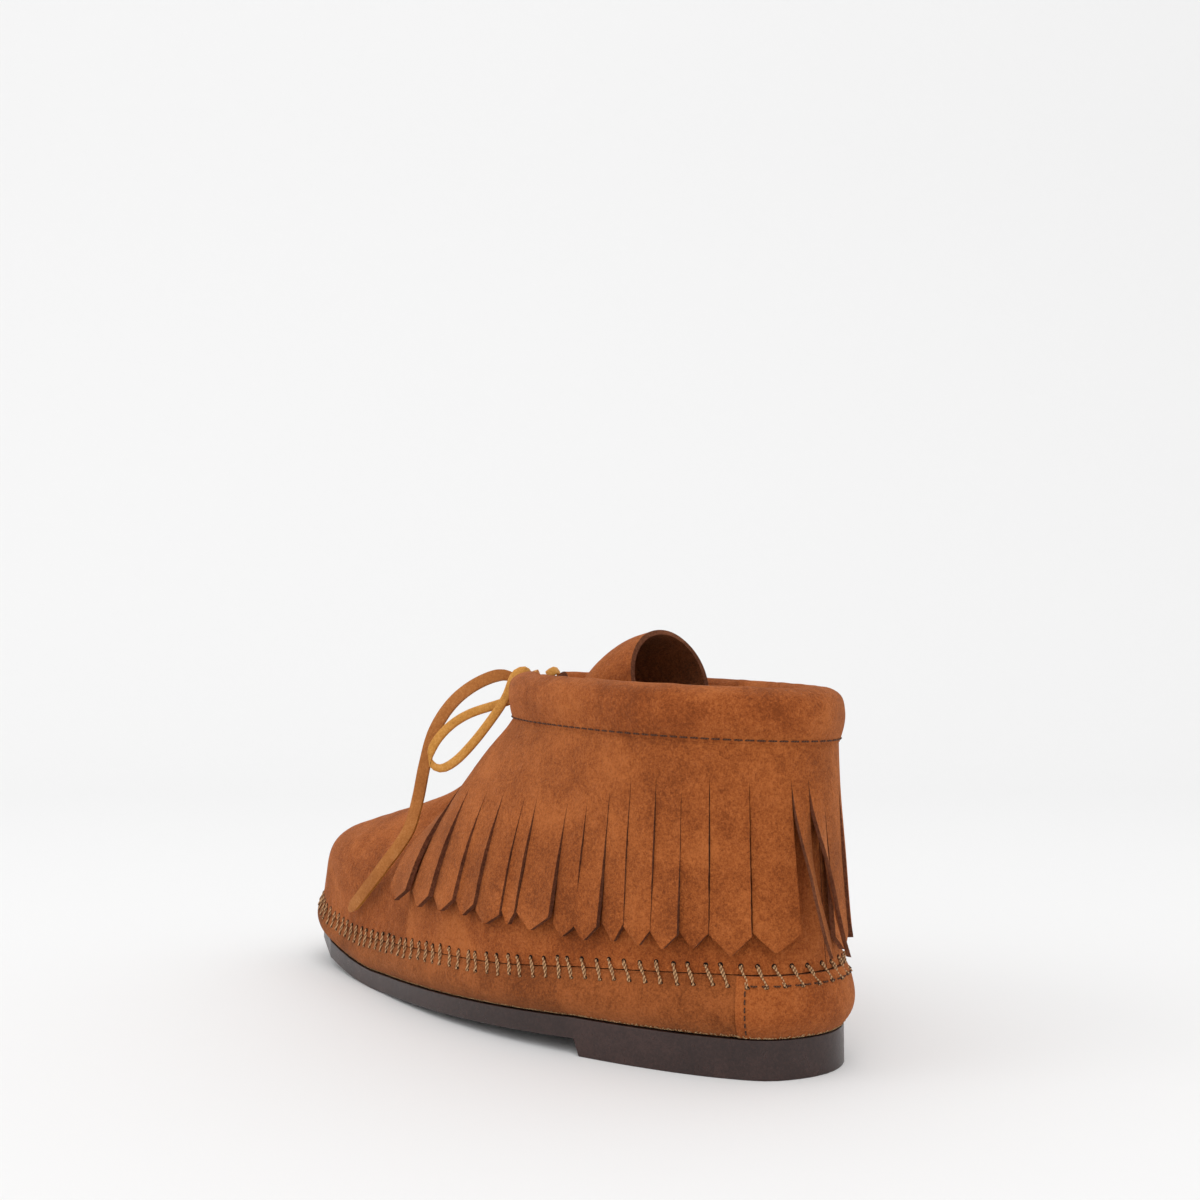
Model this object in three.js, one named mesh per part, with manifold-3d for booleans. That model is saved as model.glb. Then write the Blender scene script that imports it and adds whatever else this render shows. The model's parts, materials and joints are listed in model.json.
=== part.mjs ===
// Fringed ankle moccasin, left foot.  Millimetres, +X to the toe, +Y to the outside of the foot, +Z up.
// The shoe is worked out from the back of the heel, then moved so its middle stands over the origin.
import * as THREE from 'three';
import { LoftGeometry } from 'three/addons/geometries/LoftGeometry.js';
import { mergeVertices } from 'three/addons/utils/BufferGeometryUtils.js';
import Manifold from 'manifold-3d';

// Overall sizes
const SHOE_LENGTH = 261;
const SOLE_WIDTH = 92;
const HEEL_HEIGHT = 11.4;
const SOLE_THICKNESS = 6.3;
const HEEL_LENGTH = 64;
const TOE_SPRING = 12;
const COLLAR_TOP = 114.5;
const COLLAR_REAR_LENGTH = 59;
const COLLAR_FRONT_LENGTH = 77;
const COLLAR_HALF_WIDTH = 37;
const COLLAR_SLOPE = 0.045;
const COLLAR_SQUARENESS = 2.15;

// Sheet materials and clearances
const SUEDE = 1.8;
const FIT_GAP = 0.3;
const SEAM_GAP = 0.3;
const LASTING_MARGIN = 14;
const FILLER_GAP = 1.6;
const INSOLE_THICKNESS = 2.4;
const SOCK_THICKNESS = 1.6;

// Lower wrap
const SEAM_RISE_HEEL = 18.5;
const SEAM_RISE_WAIST = 13.5;
const SEAM_RISE_TOE = 10.5;
const WRAP_TUCK = 1.4;
const WRAP_BULGE = 2.6;
const SEAM_INSET = 0.2;

// Collar fold and the line it is sewn along
const COLLAR_HEIGHT = 16.5;
const COLLAR_OUTER_BULGE = 4;
const COLLAR_OPEN_ANGLE = 12;

// Fringe
const FRINGE_CUT_DEPTH = 10;
const FRINGE_TIP_HEIGHT = 36;
const STRIP_GAP = 0.6;
const POINT_LENGTH = 5;
const STRIP_TIP_WIDTH = 1.2;
const REAR_STRIP_WIDTH = 5.6;
const REAR_STRIP_COUNT = 2;
// Widths of the fringe cuts on the outer side, from the heel forward, cut by hand and so uneven.
const LATERAL_WIDTHS = [12.4, 12.2, 9, 9, 9.6, 8.2, 9.4, 9, 15, 6.5, 12, 10.6, 13, 14, 15];
const MEDIAL_STRIP_WIDTH = 10.6;
const MEDIAL_STRIP_COUNT = 16;

// Panels
const BREAST_RAKE = 2;
const PATCH_HALF_WIDTH = 29;
const QUARTER_SEAM_ANGLE = 154.5;
const QUARTER_LIP = 0.03;
const VAMP_SEAM_ANGLE = 146;
const VAMP_TUCK_RISE = 0.12;
const VAMP_TOP_RISE = 0.86;
const TUCK_LAP_ANGLE = 6;
const TUCK_CLEAR_ANGLE = 14;
const FRINGE_STANDOFF = 0.8;
const FRINGE_OUT = SUEDE + FRINGE_STANDOFF;
const FRINGE_TOP_SHARE = 0.9;
const FRINGE_FRONT_TOP_SHARE = 0.95;
const FRONT_SLIT_Z = 76;
const FRONT_SLIT_START = 55;
const FRONT_SLIT_FULL = 90;

// Tongue.  Behind its root each station is: place past the collar's front, sideways, height over the collar
// seam, lean, half width and height of the arch.
const TONGUE_THICKNESS = 1.8;
const TONGUE_OVERTURN = 8;
const TONGUE_ROOT_ANGLE = 8;
const TONGUE_ROOT_GAP_RISE = 0.005;
const TONGUE_STATIONS = [
  [-4, 0, -8.5, 0.2, 11.5, 2.5], [-15, 0, -10, 0.1, 13, 6], [-27, -1, -9, 0.4, 15.5, 11.5],
  [-36, -3, -1, 0.65, 17.5, 16], [-46, -5, 8, 0.5, 18, 18.5], [-56, -6.5, 13.5, 0.35, 18, 19],
  [-64, -7, 16, 0.25, 18, 18.5],
];

// Rawhide lace
const LACE_WIDTH = 3.6;
const LACE_THICKNESS = 1.8;
const KNOT_RADIUS = 5;
const KNOT_LENGTH = 12;
const KNOT_FORWARD = 5;
const KNOT_UP = 9;
const LACE_SEAT_OUT = -1.6;
const LACE_SEAT_UP = 8;
// Free lengths of the lace, measured from the middle of the knot.
// Each point of a loop is forward, outward and upward from the middle of the knot.
const LOOP_LATERAL = [
  [-2.5, 4, 5.8], [-3.8, 7.5, 8.4], [-1.8, 10.2, 7.2], [0, 12.7, -1.5], [4, 17.5, -11], [8.5, 23, -20],
  [13, 28, -26.5], [16.5, 32, -28.5], [18.5, 34, -25.5], [18.5, 32.5, -20], [15.5, 27, -12.5], [12, 20.5, -8],
  [8, 13.5, -5.5], [3.4, 7.2, -3],
];
const LOOP_MEDIAL = LOOP_LATERAL.map(([x, y, z]) => [x, -y, z]);
// The free end leaves the knot in the same way, then lies down the plug.  There each point is degrees about
// the ankle, rise, and distance standing out.
const END_IN_AIR = [
  [4.6, 2.4, 3.6], [8.5, 8, 6], [14.5, 14, 3.5], [22.5, 20, -3.5], [29.5, 24, -14.5], [33, 26, -27.5],
  [34.5, 28, -40.5],
];
const END_ON_PLUG = [
  [161.8, 0.45, 5], [161, 0.39, 3], [161.2, 0.33, 2.6], [162, 0.27, 2.5], [163, 0.22, 2.4], [164, 0.17, 2.4],
  [165.5, 0.1, 2.4],
];

// Threads
const WHIP_THREAD = 1.1;
const WHIP_PITCH = 5.2;
const WHIP_REACH = 3.1;
const WHIP_SLANT = 0.45;
const COLLAR_THREAD = 0.8;

// How finely the pieces are drawn
const OUTLINE_SAMPLES = 720;
const STITCH_SAMPLES = 360;
const ARC_SAMPLES = 175;
const ARC_TABLES = 200;
const THREAD_SIDES = 6;
const RING_STEPS = 104;
const PROFILE_STEPS = 24;
const PATCH_STEPS = 14;
const QUARTER_STEPS = 42;
const QUARTER_ROWS = 11;
const VAMP_STEPS = 44;
const VAMP_ROWS = 8;
const BAND_STEPS = 84;
const STRIP_ROWS = 5;
const COLLAR_STEPS = 68;
const LACE_RING_POINTS = 48;
const LACE_SIDES = 8;
const LOOP_STEPS = 24;
const END_STEPS = 30;
const TONGUE_ARCH_STEPS = 14;

// Outline of the sole: how far along the shoe and how far out, as fractions of length and width.
const OUTLINE = [
  [0.0, 0.0], [0.019, 0.19], [0.065, 0.29], [0.172, 0.413], [0.326, 0.508], [0.46, 0.525],
  [0.575, 0.496], [0.67, 0.449], [0.747, 0.411], [0.824, 0.366], [0.9, 0.315], [0.958, 0.228],
  [0.989, 0.12], [1.0, 0.0], [0.989, -0.136], [0.95, -0.272], [0.889, -0.391], [0.812, -0.457],
  [0.736, -0.473], [0.659, -0.446], [0.556, -0.37], [0.441, -0.315], [0.326, -0.31], [0.172, -0.326],
  [0.065, -0.25], [0.019, -0.152],
];
// Instep line from the toe seam to the collar: share of the rise against share of the run back.
const INSTEP = [
  [0, 0], [0.1, 0.001], [0.2, 0.01], [0.28, 0.03], [0.35, 0.085], [0.41, 0.2], [0.47, 0.38], [0.58, 0.61],
  [0.78, 0.81], [1, 1],
];

// How full the sides of the instep stand, 1 being straight up to the collar.
const SIDE_FULLNESS = 1.9;

const ANKLE_X = COLLAR_REAR_LENGTH;
const ANKLE = new THREE.Vector2(ANKLE_X, 0);
const BALL_X = SHOE_LENGTH * 0.71;
const STITCH_Z = COLLAR_TOP - COLLAR_HEIGHT;
const SLIT_Z = STITCH_Z - FRINGE_CUT_DEPTH;

const suede = { color: 0x9b5c31, roughness: 0.95, metalness: 0 };
const edgeSuede = { color: 0x8d522b, roughness: 0.95, metalness: 0 };
const rubber = { color: 0x3d3230, roughness: 0.45, metalness: 0 };
const board = { color: 0xa98c62, roughness: 0.9, metalness: 0 };
const lining = { color: 0xb08555, roughness: 0.85, metalness: 0 };
const rawhide = { color: 0xb57a3c, roughness: 0.7, metalness: 0 };
const thread = { color: 0xb59a74, roughness: 0.8, metalness: 0 };
const darkThread = { color: 0x4a2a18, roughness: 0.8, metalness: 0 };

const part = new THREE.Group();
const radians = THREE.MathUtils.degToRad;
const lerp = THREE.MathUtils.lerp;
const smooth = THREE.MathUtils.smoothstep;

function addMesh(name, geometry, look) {
  const mesh = new THREE.Mesh(geometry, new THREE.MeshStandardMaterial(look));
  mesh.name = name;
  part.add(mesh);
  return mesh;
}

function signedVolume(geometry) {
  const index = geometry.index;
  const place = geometry.attributes.position;
  const a = new THREE.Vector3();
  const b = new THREE.Vector3();
  const c = new THREE.Vector3();
  let total = 0;
  for (let i = 0; i < index.count; i += 3) {
    a.fromBufferAttribute(place, index.getX(i));
    b.fromBufferAttribute(place, index.getX(i + 1));
    c.fromBufferAttribute(place, index.getX(i + 2));
    total += a.dot(b.cross(c));
  }
  return total;
}

// A solid joined through a row of closed sections.  A row that comes back to its start needs no end caps.
function loftSolid(sections, isRing = false) {
  const rows = isRing ? [...sections, sections[0]] : sections;
  const options = { closed: true, capStart: !isRing, capEnd: !isRing };
  const solid = new LoftGeometry(rows, options);
  if (signedVolume(solid) > 0) return solid;
  return new LoftGeometry(rows.map((row) => [...row].reverse()), options);
}

const outlineCurve = new THREE.CatmullRomCurve3(
  OUTLINE.map(([along, across]) => new THREE.Vector3(along * SHOE_LENGTH, across * SOLE_WIDTH, 0)),
  true,
  'centripetal',
);

// Outline points moved outward by an offset, kept with their angle about the ankle.
const outlineTables = new Map();
function outlineTable(offset) {
  if (outlineTables.has(offset)) return outlineTables.get(offset);
  const count = OUTLINE_SAMPLES;
  const rows = [];
  for (let i = 0; i < count; i += 1) {
    const at = outlineCurve.getPoint(i / count);
    const tangent = outlineCurve.getTangent(i / count);
    const x = at.x - tangent.y * offset;
    const y = at.y + tangent.x * offset;
    rows.push({ angle: Math.atan2(y - ANKLE.y, ANKLE.x - x), x, y });
  }
  rows.sort((a, b) => a.angle - b.angle);
  outlineTables.set(offset, rows);
  return rows;
}

// The outline seen from the ankle: angle 0 is the back of the heel, positive towards the outer side.
function outlinePoint(angle, offset = 0) {
  const rows = outlineTable(offset);
  const turn = Math.atan2(Math.sin(angle), Math.cos(angle));
  let high = rows.findIndex((row) => row.angle >= turn);
  if (high < 0) high = 0;
  const a = rows[(high - 1 + rows.length) % rows.length];
  const b = rows[high];
  let span = b.angle - a.angle;
  if (span < 0) span += Math.PI * 2;
  let past = turn - a.angle;
  if (past < 0) past += Math.PI * 2;
  const share = span > 0 ? past / span : 0;
  return new THREE.Vector2(lerp(a.x, b.x, share), lerp(a.y, b.y, share));
}

// Angles that share the outline out into equal lengths.
const stitchTable = outlineCurve.getSpacedPoints(STITCH_SAMPLES).map((at) => {
  const angle = Math.atan2(at.y, ANKLE_X - at.x);
  return angle < 0 ? angle + Math.PI * 2 : angle;
});
stitchTable[0] = 0;
stitchTable[STITCH_SAMPLES] = Math.PI * 2;
function stitchAngle(share) {
  const place = (((share % 1) + 1) % 1) * STITCH_SAMPLES;
  const low = Math.floor(place);
  return lerp(stitchTable[low], stitchTable[low + 1], place - low);
}

function shareAtAngle(angle) {
  const high = stitchTable.findIndex((entry) => entry >= angle);
  const share = (angle - stitchTable[high - 1]) / (stitchTable[high] - stitchTable[high - 1]);
  return (high - 1 + share) / STITCH_SAMPLES;
}

function soleBottom(x) {
  const lift = HEEL_HEIGHT - SOLE_THICKNESS;
  if (x < HEEL_LENGTH) return lift;
  if (x < BALL_X) return lift * (BALL_X - x) / (BALL_X - HEEL_LENGTH);
  const share = Math.min(1, (x - BALL_X) / (SHOE_LENGTH - BALL_X));
  return TOE_SPRING * share * share;
}

function soleTop(x) {
  return soleBottom(x) + SOLE_THICKNESS;
}

function seamHeight(x) {
  const rise = x < BALL_X * 0.6
    ? lerp(SEAM_RISE_HEEL, SEAM_RISE_WAIST, smooth(x, 0, BALL_X * 0.6))
    : lerp(SEAM_RISE_WAIST, SEAM_RISE_TOE, smooth(x, BALL_X * 0.6, SHOE_LENGTH));
  return soleTop(x) + rise;
}

// Ring that the collar is sewn along, rounder at the heel and squarer over the instep.
function collarRing(angle, offset) {
  const c = Math.cos(angle);
  const s = Math.sin(angle);
  if (c >= 0) {
    const lengthwise = COLLAR_REAR_LENGTH + offset;
    const across = COLLAR_HALF_WIDTH + offset;
    return new THREE.Vector2(ANKLE_X - lengthwise * c, across * s);
  }
  const power = 2 / COLLAR_SQUARENESS;
  const forward = (COLLAR_FRONT_LENGTH + offset) * Math.abs(c) ** power;
  const sideways = (COLLAR_HALF_WIDTH + offset) * Math.sign(s) * Math.abs(s) ** power;
  return new THREE.Vector2(ANKLE_X + forward, sideways);
}

function instepRun(rise) {
  for (let i = 1; i < INSTEP.length; i += 1) {
    if (rise <= INSTEP[i][0]) {
      const share = (rise - INSTEP[i - 1][0]) / (INSTEP[i][0] - INSTEP[i - 1][0]);
      return lerp(INSTEP[i - 1][1], INSTEP[i][1], share);
    }
  }
  return 1;
}

// Outer face of the upper, by angle about the ankle and by rise from the whip-stitched seam (0) to the
// collar seam (1).
function upperFace(angle, rise) {
  const low = outlinePoint(angle, -SEAM_INSET);
  const high = collarRing(angle, -COLLAR_OUTER_BULGE);
  const bounded = Math.max(0, rise);
  const turn = Math.abs(Math.atan2(Math.sin(angle), Math.cos(angle)));
  const frontness = smooth(turn, radians(148), radians(170));
  const fullness = lerp(1, SIDE_FULLNESS, smooth(turn, radians(70), radians(150)));
  const run = lerp(bounded ** fullness, instepRun(Math.min(1, bounded)), frontness);
  const at = low.lerp(high, Math.min(run, 1));
  const lowZ = seamHeight(outlinePoint(angle, -SEAM_INSET).x) + SEAM_GAP / 2;
  const highZ = STITCH_Z + COLLAR_SLOPE * (high.x - ANKLE_X);
  return new THREE.Vector3(at.x, at.y, lerp(lowZ, highZ, rise));
}

function upperNormal(angle, rise) {
  const step = 0.01;
  const across = upperFace(angle + step, rise).sub(upperFace(angle - step, rise));
  const up = upperFace(angle, rise + step).sub(upperFace(angle, Math.max(0, rise - step)));
  const normal = up.cross(across);
  normal.z *= smooth(rise, 0, 0.1) * (1 - smooth(rise, 0.75, 0.97));
  return normal.normalize();
}

// A point on the upper, moved out from its outer face.
function upperPoint(angle, rise, out) {
  return upperFace(angle, rise).addScaledVector(upperNormal(angle, rise), out);
}

// Angles that lie given distances round the upper from the back of the heel, at one rise.
const arcTables = new Map();
function angleAtArc(arc, rise) {
  const key = Math.round(rise * ARC_TABLES) / ARC_TABLES;
  if (!arcTables.has(key)) {
    const rows = [[0, 0]];
    for (const side of [1, -1]) {
      let length = 0;
      let last = upperFace(0, key);
      for (let i = 1; i <= ARC_SAMPLES; i += 1) {
        const next = upperFace(side * radians(i), key);
        length += next.distanceTo(last);
        rows.push([side * length, side * radians(i)]);
        last = next;
      }
    }
    rows.sort((a, b) => a[0] - b[0]);
    arcTables.set(key, rows);
  }
  const rows = arcTables.get(key);
  let high = rows.findIndex((row) => row[0] >= arc);
  if (high < 1) high = high < 0 ? rows.length - 1 : 1;
  const share = (arc - rows[high - 1][0]) / (rows[high][0] - rows[high - 1][0]);
  return lerp(rows[high - 1][1], rows[high][1], share);
}

function arcAtAngle(angle, rise) {
  angleAtArc(0, rise);
  const rows = arcTables.get(Math.round(rise * ARC_TABLES) / ARC_TABLES);
  const high = Math.max(1, rows.findIndex((row) => row[1] >= angle));
  const share = (angle - rows[high - 1][1]) / (rows[high][1] - rows[high - 1][1]);
  return lerp(rows[high - 1][0], rows[high][0], share);
}

function riseAt(angle, z) {
  const low = upperFace(angle, 0).z;
  const high = upperFace(angle, 1).z;
  return (z - low) / (high - low);
}

// One sheet of leather lying on the upper.  The angle and the depth may change over it.
function upperSheet(angleAt, steps, rises, outerAt, thickness) {
  const sections = [];
  for (let i = 0; i <= steps; i += 1) {
    const outer = [];
    const inner = [];
    for (const rise of rises) {
      const angle = angleAt(i / steps, rise);
      outer.push(upperPoint(angle, rise, outerAt(angle, rise)));
      inner.push(upperPoint(angle, rise, outerAt(angle, rise) - thickness));
    }
    sections.push([...outer, ...inner.reverse()]);
  }
  return loftSolid(sections);
}

// Booleans are used only for the flat layers under the foot.
const wasm = await Manifold();
wasm.setup();

function toManifold(geometry) {
  const plain = new THREE.BufferGeometry();
  plain.setAttribute('position', geometry.attributes.position);
  if (geometry.index) plain.setIndex(geometry.index);
  const merged = mergeVertices(plain, 1e-4);
  return new wasm.Manifold(new wasm.Mesh({
    numProp: 3,
    vertProperties: merged.attributes.position.array,
    triVerts: new Uint32Array(merged.index.array),
  }));
}

function fromManifold(solid) {
  const mesh = solid.getMesh();
  const geometry = new THREE.BufferGeometry();
  geometry.setAttribute('position', new THREE.Float32BufferAttribute(mesh.vertProperties, 3));
  geometry.setIndex(new THREE.Uint32BufferAttribute(mesh.triVerts, 1));
  return geometry;
}

// A layer with the outline of the sole, moved out by an offset, between two heights that change along it.
function bottomLayer(offset, lowAt, highAt) {
  const plan = new THREE.Shape();
  for (let i = 0; i < RING_STEPS; i += 1) {
    const at = outlinePoint(i / RING_STEPS * Math.PI * 2, offset);
    if (i === 0) plan.moveTo(at.x, at.y);
    else plan.lineTo(at.x, at.y);
  }
  const tall = new THREE.ExtrudeGeometry(plan, { depth: SHOE_LENGTH, bevelEnabled: false });
  tall.translate(0, 0, -SHOE_LENGTH / 2);
  const side = new THREE.Shape();
  const start = -offset - SOLE_WIDTH;
  const end = SHOE_LENGTH + offset + SOLE_WIDTH;
  const stations = [start, 0];
  for (let i = 1; i <= PROFILE_STEPS; i += 1) stations.push(SHOE_LENGTH * i / PROFILE_STEPS);
  stations.push(HEEL_LENGTH - BREAST_RAKE, HEEL_LENGTH, BALL_X, end);
  stations.sort((a, b) => a - b);
  side.moveTo(stations[0], lowAt(stations[0]));
  for (const x of stations.slice(1)) side.lineTo(x, lowAt(x));
  for (const x of [...stations].reverse()) side.lineTo(x, highAt(x));
  const wide = new THREE.ExtrudeGeometry(side, { depth: SOLE_WIDTH * 3, bevelEnabled: false });
  wide.rotateX(Math.PI / 2);
  wide.translate(0, SOLE_WIDTH * 1.5, 0);
  return fromManifold(toManifold(tall).intersect(toManifold(wide)));
}

function treadHeight(x) {
  if (x <= HEEL_LENGTH - BREAST_RAKE) return 0;
  return soleBottom(x);
}

const INNER_OFFSET = -WRAP_TUCK - SUEDE - FIT_GAP * 2;
const MARGIN_TOP = FIT_GAP + SUEDE;
const BOARD_LOW = MARGIN_TOP + FIT_GAP;
const SOCK_LOW = BOARD_LOW + INSOLE_THICKNESS + FIT_GAP;

function addBottom() {
  addMesh('outsole', bottomLayer(0, treadHeight, soleTop), rubber);
  const filler = bottomLayer(
    -LASTING_MARGIN - FILLER_GAP,
    (x) => soleTop(x) + FIT_GAP,
    (x) => soleTop(x) + MARGIN_TOP,
  );
  addMesh('bottom_filler', filler, board);
  const insole = bottomLayer(
    INNER_OFFSET,
    (x) => soleTop(x) + BOARD_LOW,
    (x) => soleTop(x) + BOARD_LOW + INSOLE_THICKNESS,
  );
  addMesh('insole_board', insole, board);
  const sock = bottomLayer(
    INNER_OFFSET,
    (x) => soleTop(x) + SOCK_LOW,
    (x) => soleTop(x) + SOCK_LOW + SOCK_THICKNESS,
  );
  addMesh('sock_liner', sock, lining);
}

// Wall of the lower wrap: share of its height against how far it stands out from the edge of the sole.
const WRAP_PROFILE = [
  [0, -WRAP_TUCK], [0.25, WRAP_BULGE * 0.75], [0.5, WRAP_BULGE], [0.78, WRAP_BULGE * 0.62], [1, -SEAM_INSET],
];

// The outline by share of its length from the back of the heel, moved out by an offset.
function outlineAt(share, offset) {
  const turn = ((share % 1) + 1) % 1;
  const at = outlineCurve.getPointAt(turn);
  const tangent = outlineCurve.getTangentAt(turn);
  return new THREE.Vector2(at.x - tangent.y * offset, at.y + tangent.x * offset);
}

function wrapWall(around, share, inward) {
  let i = 1;
  while (i < WRAP_PROFILE.length - 1 && share > WRAP_PROFILE[i][0]) i += 1;
  const [s0, o0] = WRAP_PROFILE[i - 1];
  const [s1, o1] = WRAP_PROFILE[i];
  const at = outlineAt(around, lerp(o0, o1, (share - s0) / (s1 - s0)) - inward);
  const low = soleTop(at.x) + FIT_GAP + inward;
  const high = seamHeight(outlineAt(around, -SEAM_INSET).x) - SEAM_GAP / 2;
  return new THREE.Vector3(at.x, at.y, lerp(low, high, share));
}

function marginPoint(around, height) {
  const at = outlineAt(around, -LASTING_MARGIN);
  return new THREE.Vector3(at.x, at.y, soleTop(at.x) + height);
}

function wrapSection(around) {
  const outer = WRAP_PROFILE.map(([share]) => wrapWall(around, share, 0));
  const inner = WRAP_PROFILE.map(([share]) => wrapWall(around, share, SUEDE)).reverse();
  return [marginPoint(around, FIT_GAP), ...outer, ...inner, marginPoint(around, FIT_GAP + SUEDE)];
}

function wrapPiece(from, to, steps) {
  const sections = [];
  for (let i = 0; i <= steps; i += 1) sections.push(wrapSection(lerp(from, to, i / steps)));
  return loftSolid(sections);
}

function addLowerWrap() {
  const edge = PATCH_HALF_WIDTH / outlineCurve.getLength();
  const gap = FIT_GAP / outlineCurve.getLength();
  addMesh('lower_wrap', wrapPiece(edge + gap, 1 - edge - gap, RING_STEPS), edgeSuede);
  addMesh('heel_patch', wrapPiece(-edge, edge, PATCH_STEPS), suede);
}

function evenRises(from, to, rows) {
  return Array.from({ length: rows + 1 }, (_, i) => lerp(from, to, i / rows));
}

// Front edge of each quarter: the angle it has reached at a given rise.
function quarterFront(rise) {
  const top = Math.PI - radians(COLLAR_OPEN_ANGLE);
  return lerp(radians(QUARTER_SEAM_ANGLE), top, smooth(rise, VAMP_TUCK_RISE, 1));
}

function addQuarters() {
  const frontArc = (rise) => arcAtAngle(quarterFront(rise), rise);
  for (const [name, side] of [['quarter_lateral', 1], ['quarter_medial', -1]]) {
    const geometry = upperSheet(
      (share, rise) => side * angleAtArc(lerp(FIT_GAP / 2, frontArc(rise), share), rise),
      QUARTER_STEPS,
      [...evenRises(0, 1, QUARTER_ROWS), 1 + QUARTER_LIP],
      () => 0,
      SUEDE,
    );
    addMesh(name, geometry, suede);
  }
}

// How far the plug is tucked in: not at all along the seam or over the toes, fully where a quarter covers it.
function tuck(angle, rise) {
  const past = Math.PI - Math.abs(Math.PI - angle) - quarterFront(rise);
  const covered = 1 - smooth(past, radians(TUCK_LAP_ANGLE), radians(TUCK_CLEAR_ANGLE));
  return covered * smooth(rise, 0, VAMP_TUCK_RISE);
}

function plugDepth(angle, rise) {
  return -(SUEDE + FIT_GAP * 3) * tuck(angle, rise);
}

// The plug over the toes: level with the quarters' edge at the seam, tucked under them at the sides.
function addVamp() {
  const first = radians(VAMP_SEAM_ANGLE);
  const seamEdge = quarterFront(0) + FIT_GAP / ANKLE_X;
  const seamShare = shareAtAngle(seamEdge);
  const seamRises = [0, 0.5, 1, 1.4, 2].map((k) => k * VAMP_TUCK_RISE);
  const geometry = upperSheet(
    (share, rise) => {
      const along = stitchAngle(lerp(seamShare, 1 - seamShare, share));
      const edge = lerp(seamEdge, first, smooth(rise, VAMP_TUCK_RISE, VAMP_TUCK_RISE * 2));
      return along + (edge - seamEdge) * (1 - 2 * share);
    },
    VAMP_STEPS,
    [...seamRises, ...evenRises(VAMP_TUCK_RISE * 2, VAMP_TOP_RISE, VAMP_ROWS).slice(1)],
    plugDepth,
    SUEDE,
  );
  addMesh('vamp_plug', geometry, suede);
}

function slitHeight(arc) {
  return lerp(SLIT_Z, FRONT_SLIT_Z, smooth(Math.abs(arc), FRONT_SLIT_START, FRONT_SLIT_FULL));
}

function stripList() {
  const strips = [];
  let edge = 0;
  for (let i = 0; i < REAR_STRIP_COUNT; i += 1) {
    strips.push({ name: `fringe_rear_${i + 1}`, from: edge, to: edge + REAR_STRIP_WIDTH });
    edge += REAR_STRIP_WIDTH;
  }
  for (const [i, width] of LATERAL_WIDTHS.entries()) {
    strips.push({ name: `fringe_lateral_${i + 1}`, from: edge, to: edge + width });
    edge += width;
  }
  edge = 0;
  for (let i = 0; i < MEDIAL_STRIP_COUNT; i += 1) {
    strips.push({ name: `fringe_medial_${i + 1}`, from: edge - MEDIAL_STRIP_WIDTH, to: edge });
    edge -= MEDIAL_STRIP_WIDTH;
  }
  return strips;
}

// A point on the outside of the fringe, by distance round at tip level and by height.
function fringePoint(arc, z, out) {
  const share = (z - FRINGE_TIP_HEIGHT) / (STITCH_Z - FRINGE_TIP_HEIGHT);
  const frontShare = smooth(Math.abs(arc), FRONT_SLIT_START, FRONT_SLIT_FULL * 2);
  const narrowed = arc * lerp(1, lerp(FRINGE_TOP_SHARE, FRINGE_FRONT_TOP_SHARE, frontShare), share);
  let rise = 0.5;
  let angle = 0;
  for (let i = 0; i < 4; i += 1) {
    angle = angleAtArc(narrowed, rise);
    const slope = COLLAR_SLOPE * (upperFace(angle, 1).x - ANKLE_X) * share;
    rise = riseAt(angle, z + slope);
  }
  return upperPoint(angle, rise, out);
}

function fringeStrip(from, to) {
  const half = (to - from) / 2;
  const middle = (from + to) / 2;
  const sections = [];
  for (let j = 0; j <= STRIP_ROWS + 1; j += 1) {
    const isTip = j === STRIP_ROWS + 1;
    const reach = isTip ? STRIP_TIP_WIDTH / 2 : half - STRIP_GAP / 2;
    const zAt = (arc) => (isTip
      ? FRINGE_TIP_HEIGHT
      : lerp(slitHeight(arc) - STRIP_GAP, FRINGE_TIP_HEIGHT + POINT_LENGTH, j / STRIP_ROWS));
    const place = (k, out) => fringePoint(middle + k * reach, zAt(middle + k * reach), out);
    const outer = [-1, 0, 1].map((k) => place(k, FRINGE_OUT));
    const inner = [1, 0, -1].map((k) => place(k, FRINGE_OUT - SUEDE));
    sections.push([...outer, ...inner]);
  }
  return loftSolid(sections);
}

function addFringe() {
  const strips = stripList();
  const first = Math.min(...strips.map((strip) => strip.from)) + STRIP_GAP / 2;
  const last = Math.max(...strips.map((strip) => strip.to)) - STRIP_GAP / 2;
  const sections = [];
  for (let i = 0; i <= BAND_STEPS; i += 1) {
    const arc = lerp(first, last, i / BAND_STEPS);
    const heights = [0, 1 / 3, 2 / 3, 1].map((share) => lerp(slitHeight(arc), STITCH_Z - FIT_GAP, share));
    const outer = heights.map((z) => fringePoint(arc, z, FRINGE_OUT));
    const inner = [...heights].reverse().map((z) => fringePoint(arc, z, FRINGE_OUT - SUEDE));
    sections.push([...outer, ...inner]);
  }
  addMesh('fringe_band', loftSolid(sections), suede);
  for (const strip of strips) {
    const mesh = addMesh(strip.name, fringeStrip(strip.from, strip.to), suede);
    const slitEnd = (arc) => fringePoint(arc, slitHeight(arc), FRINGE_OUT).toArray();
    mesh.userData.hinge = [slitEnd(strip.from), slitEnd(strip.to)];
  }
}

// Folded collar: the lips hold the top of the quarters between them and leave a tunnel for the lace.
const COLLAR_LIP_OUT = FRINGE_OUT + FIT_GAP;
const COLLAR_FOLD = [
  [COLLAR_LIP_OUT, 0], [COLLAR_LIP_OUT + 1.6, 0.3], [COLLAR_LIP_OUT + 1.9, 0.55],
  [COLLAR_LIP_OUT + 0.6, 0.85],
  [-2, 1], [-5.8, 0.86], [-7.3, 0.55], [-6, 0.25], [-FIT_GAP * 3 - SUEDE * 2, 0],
];

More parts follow.
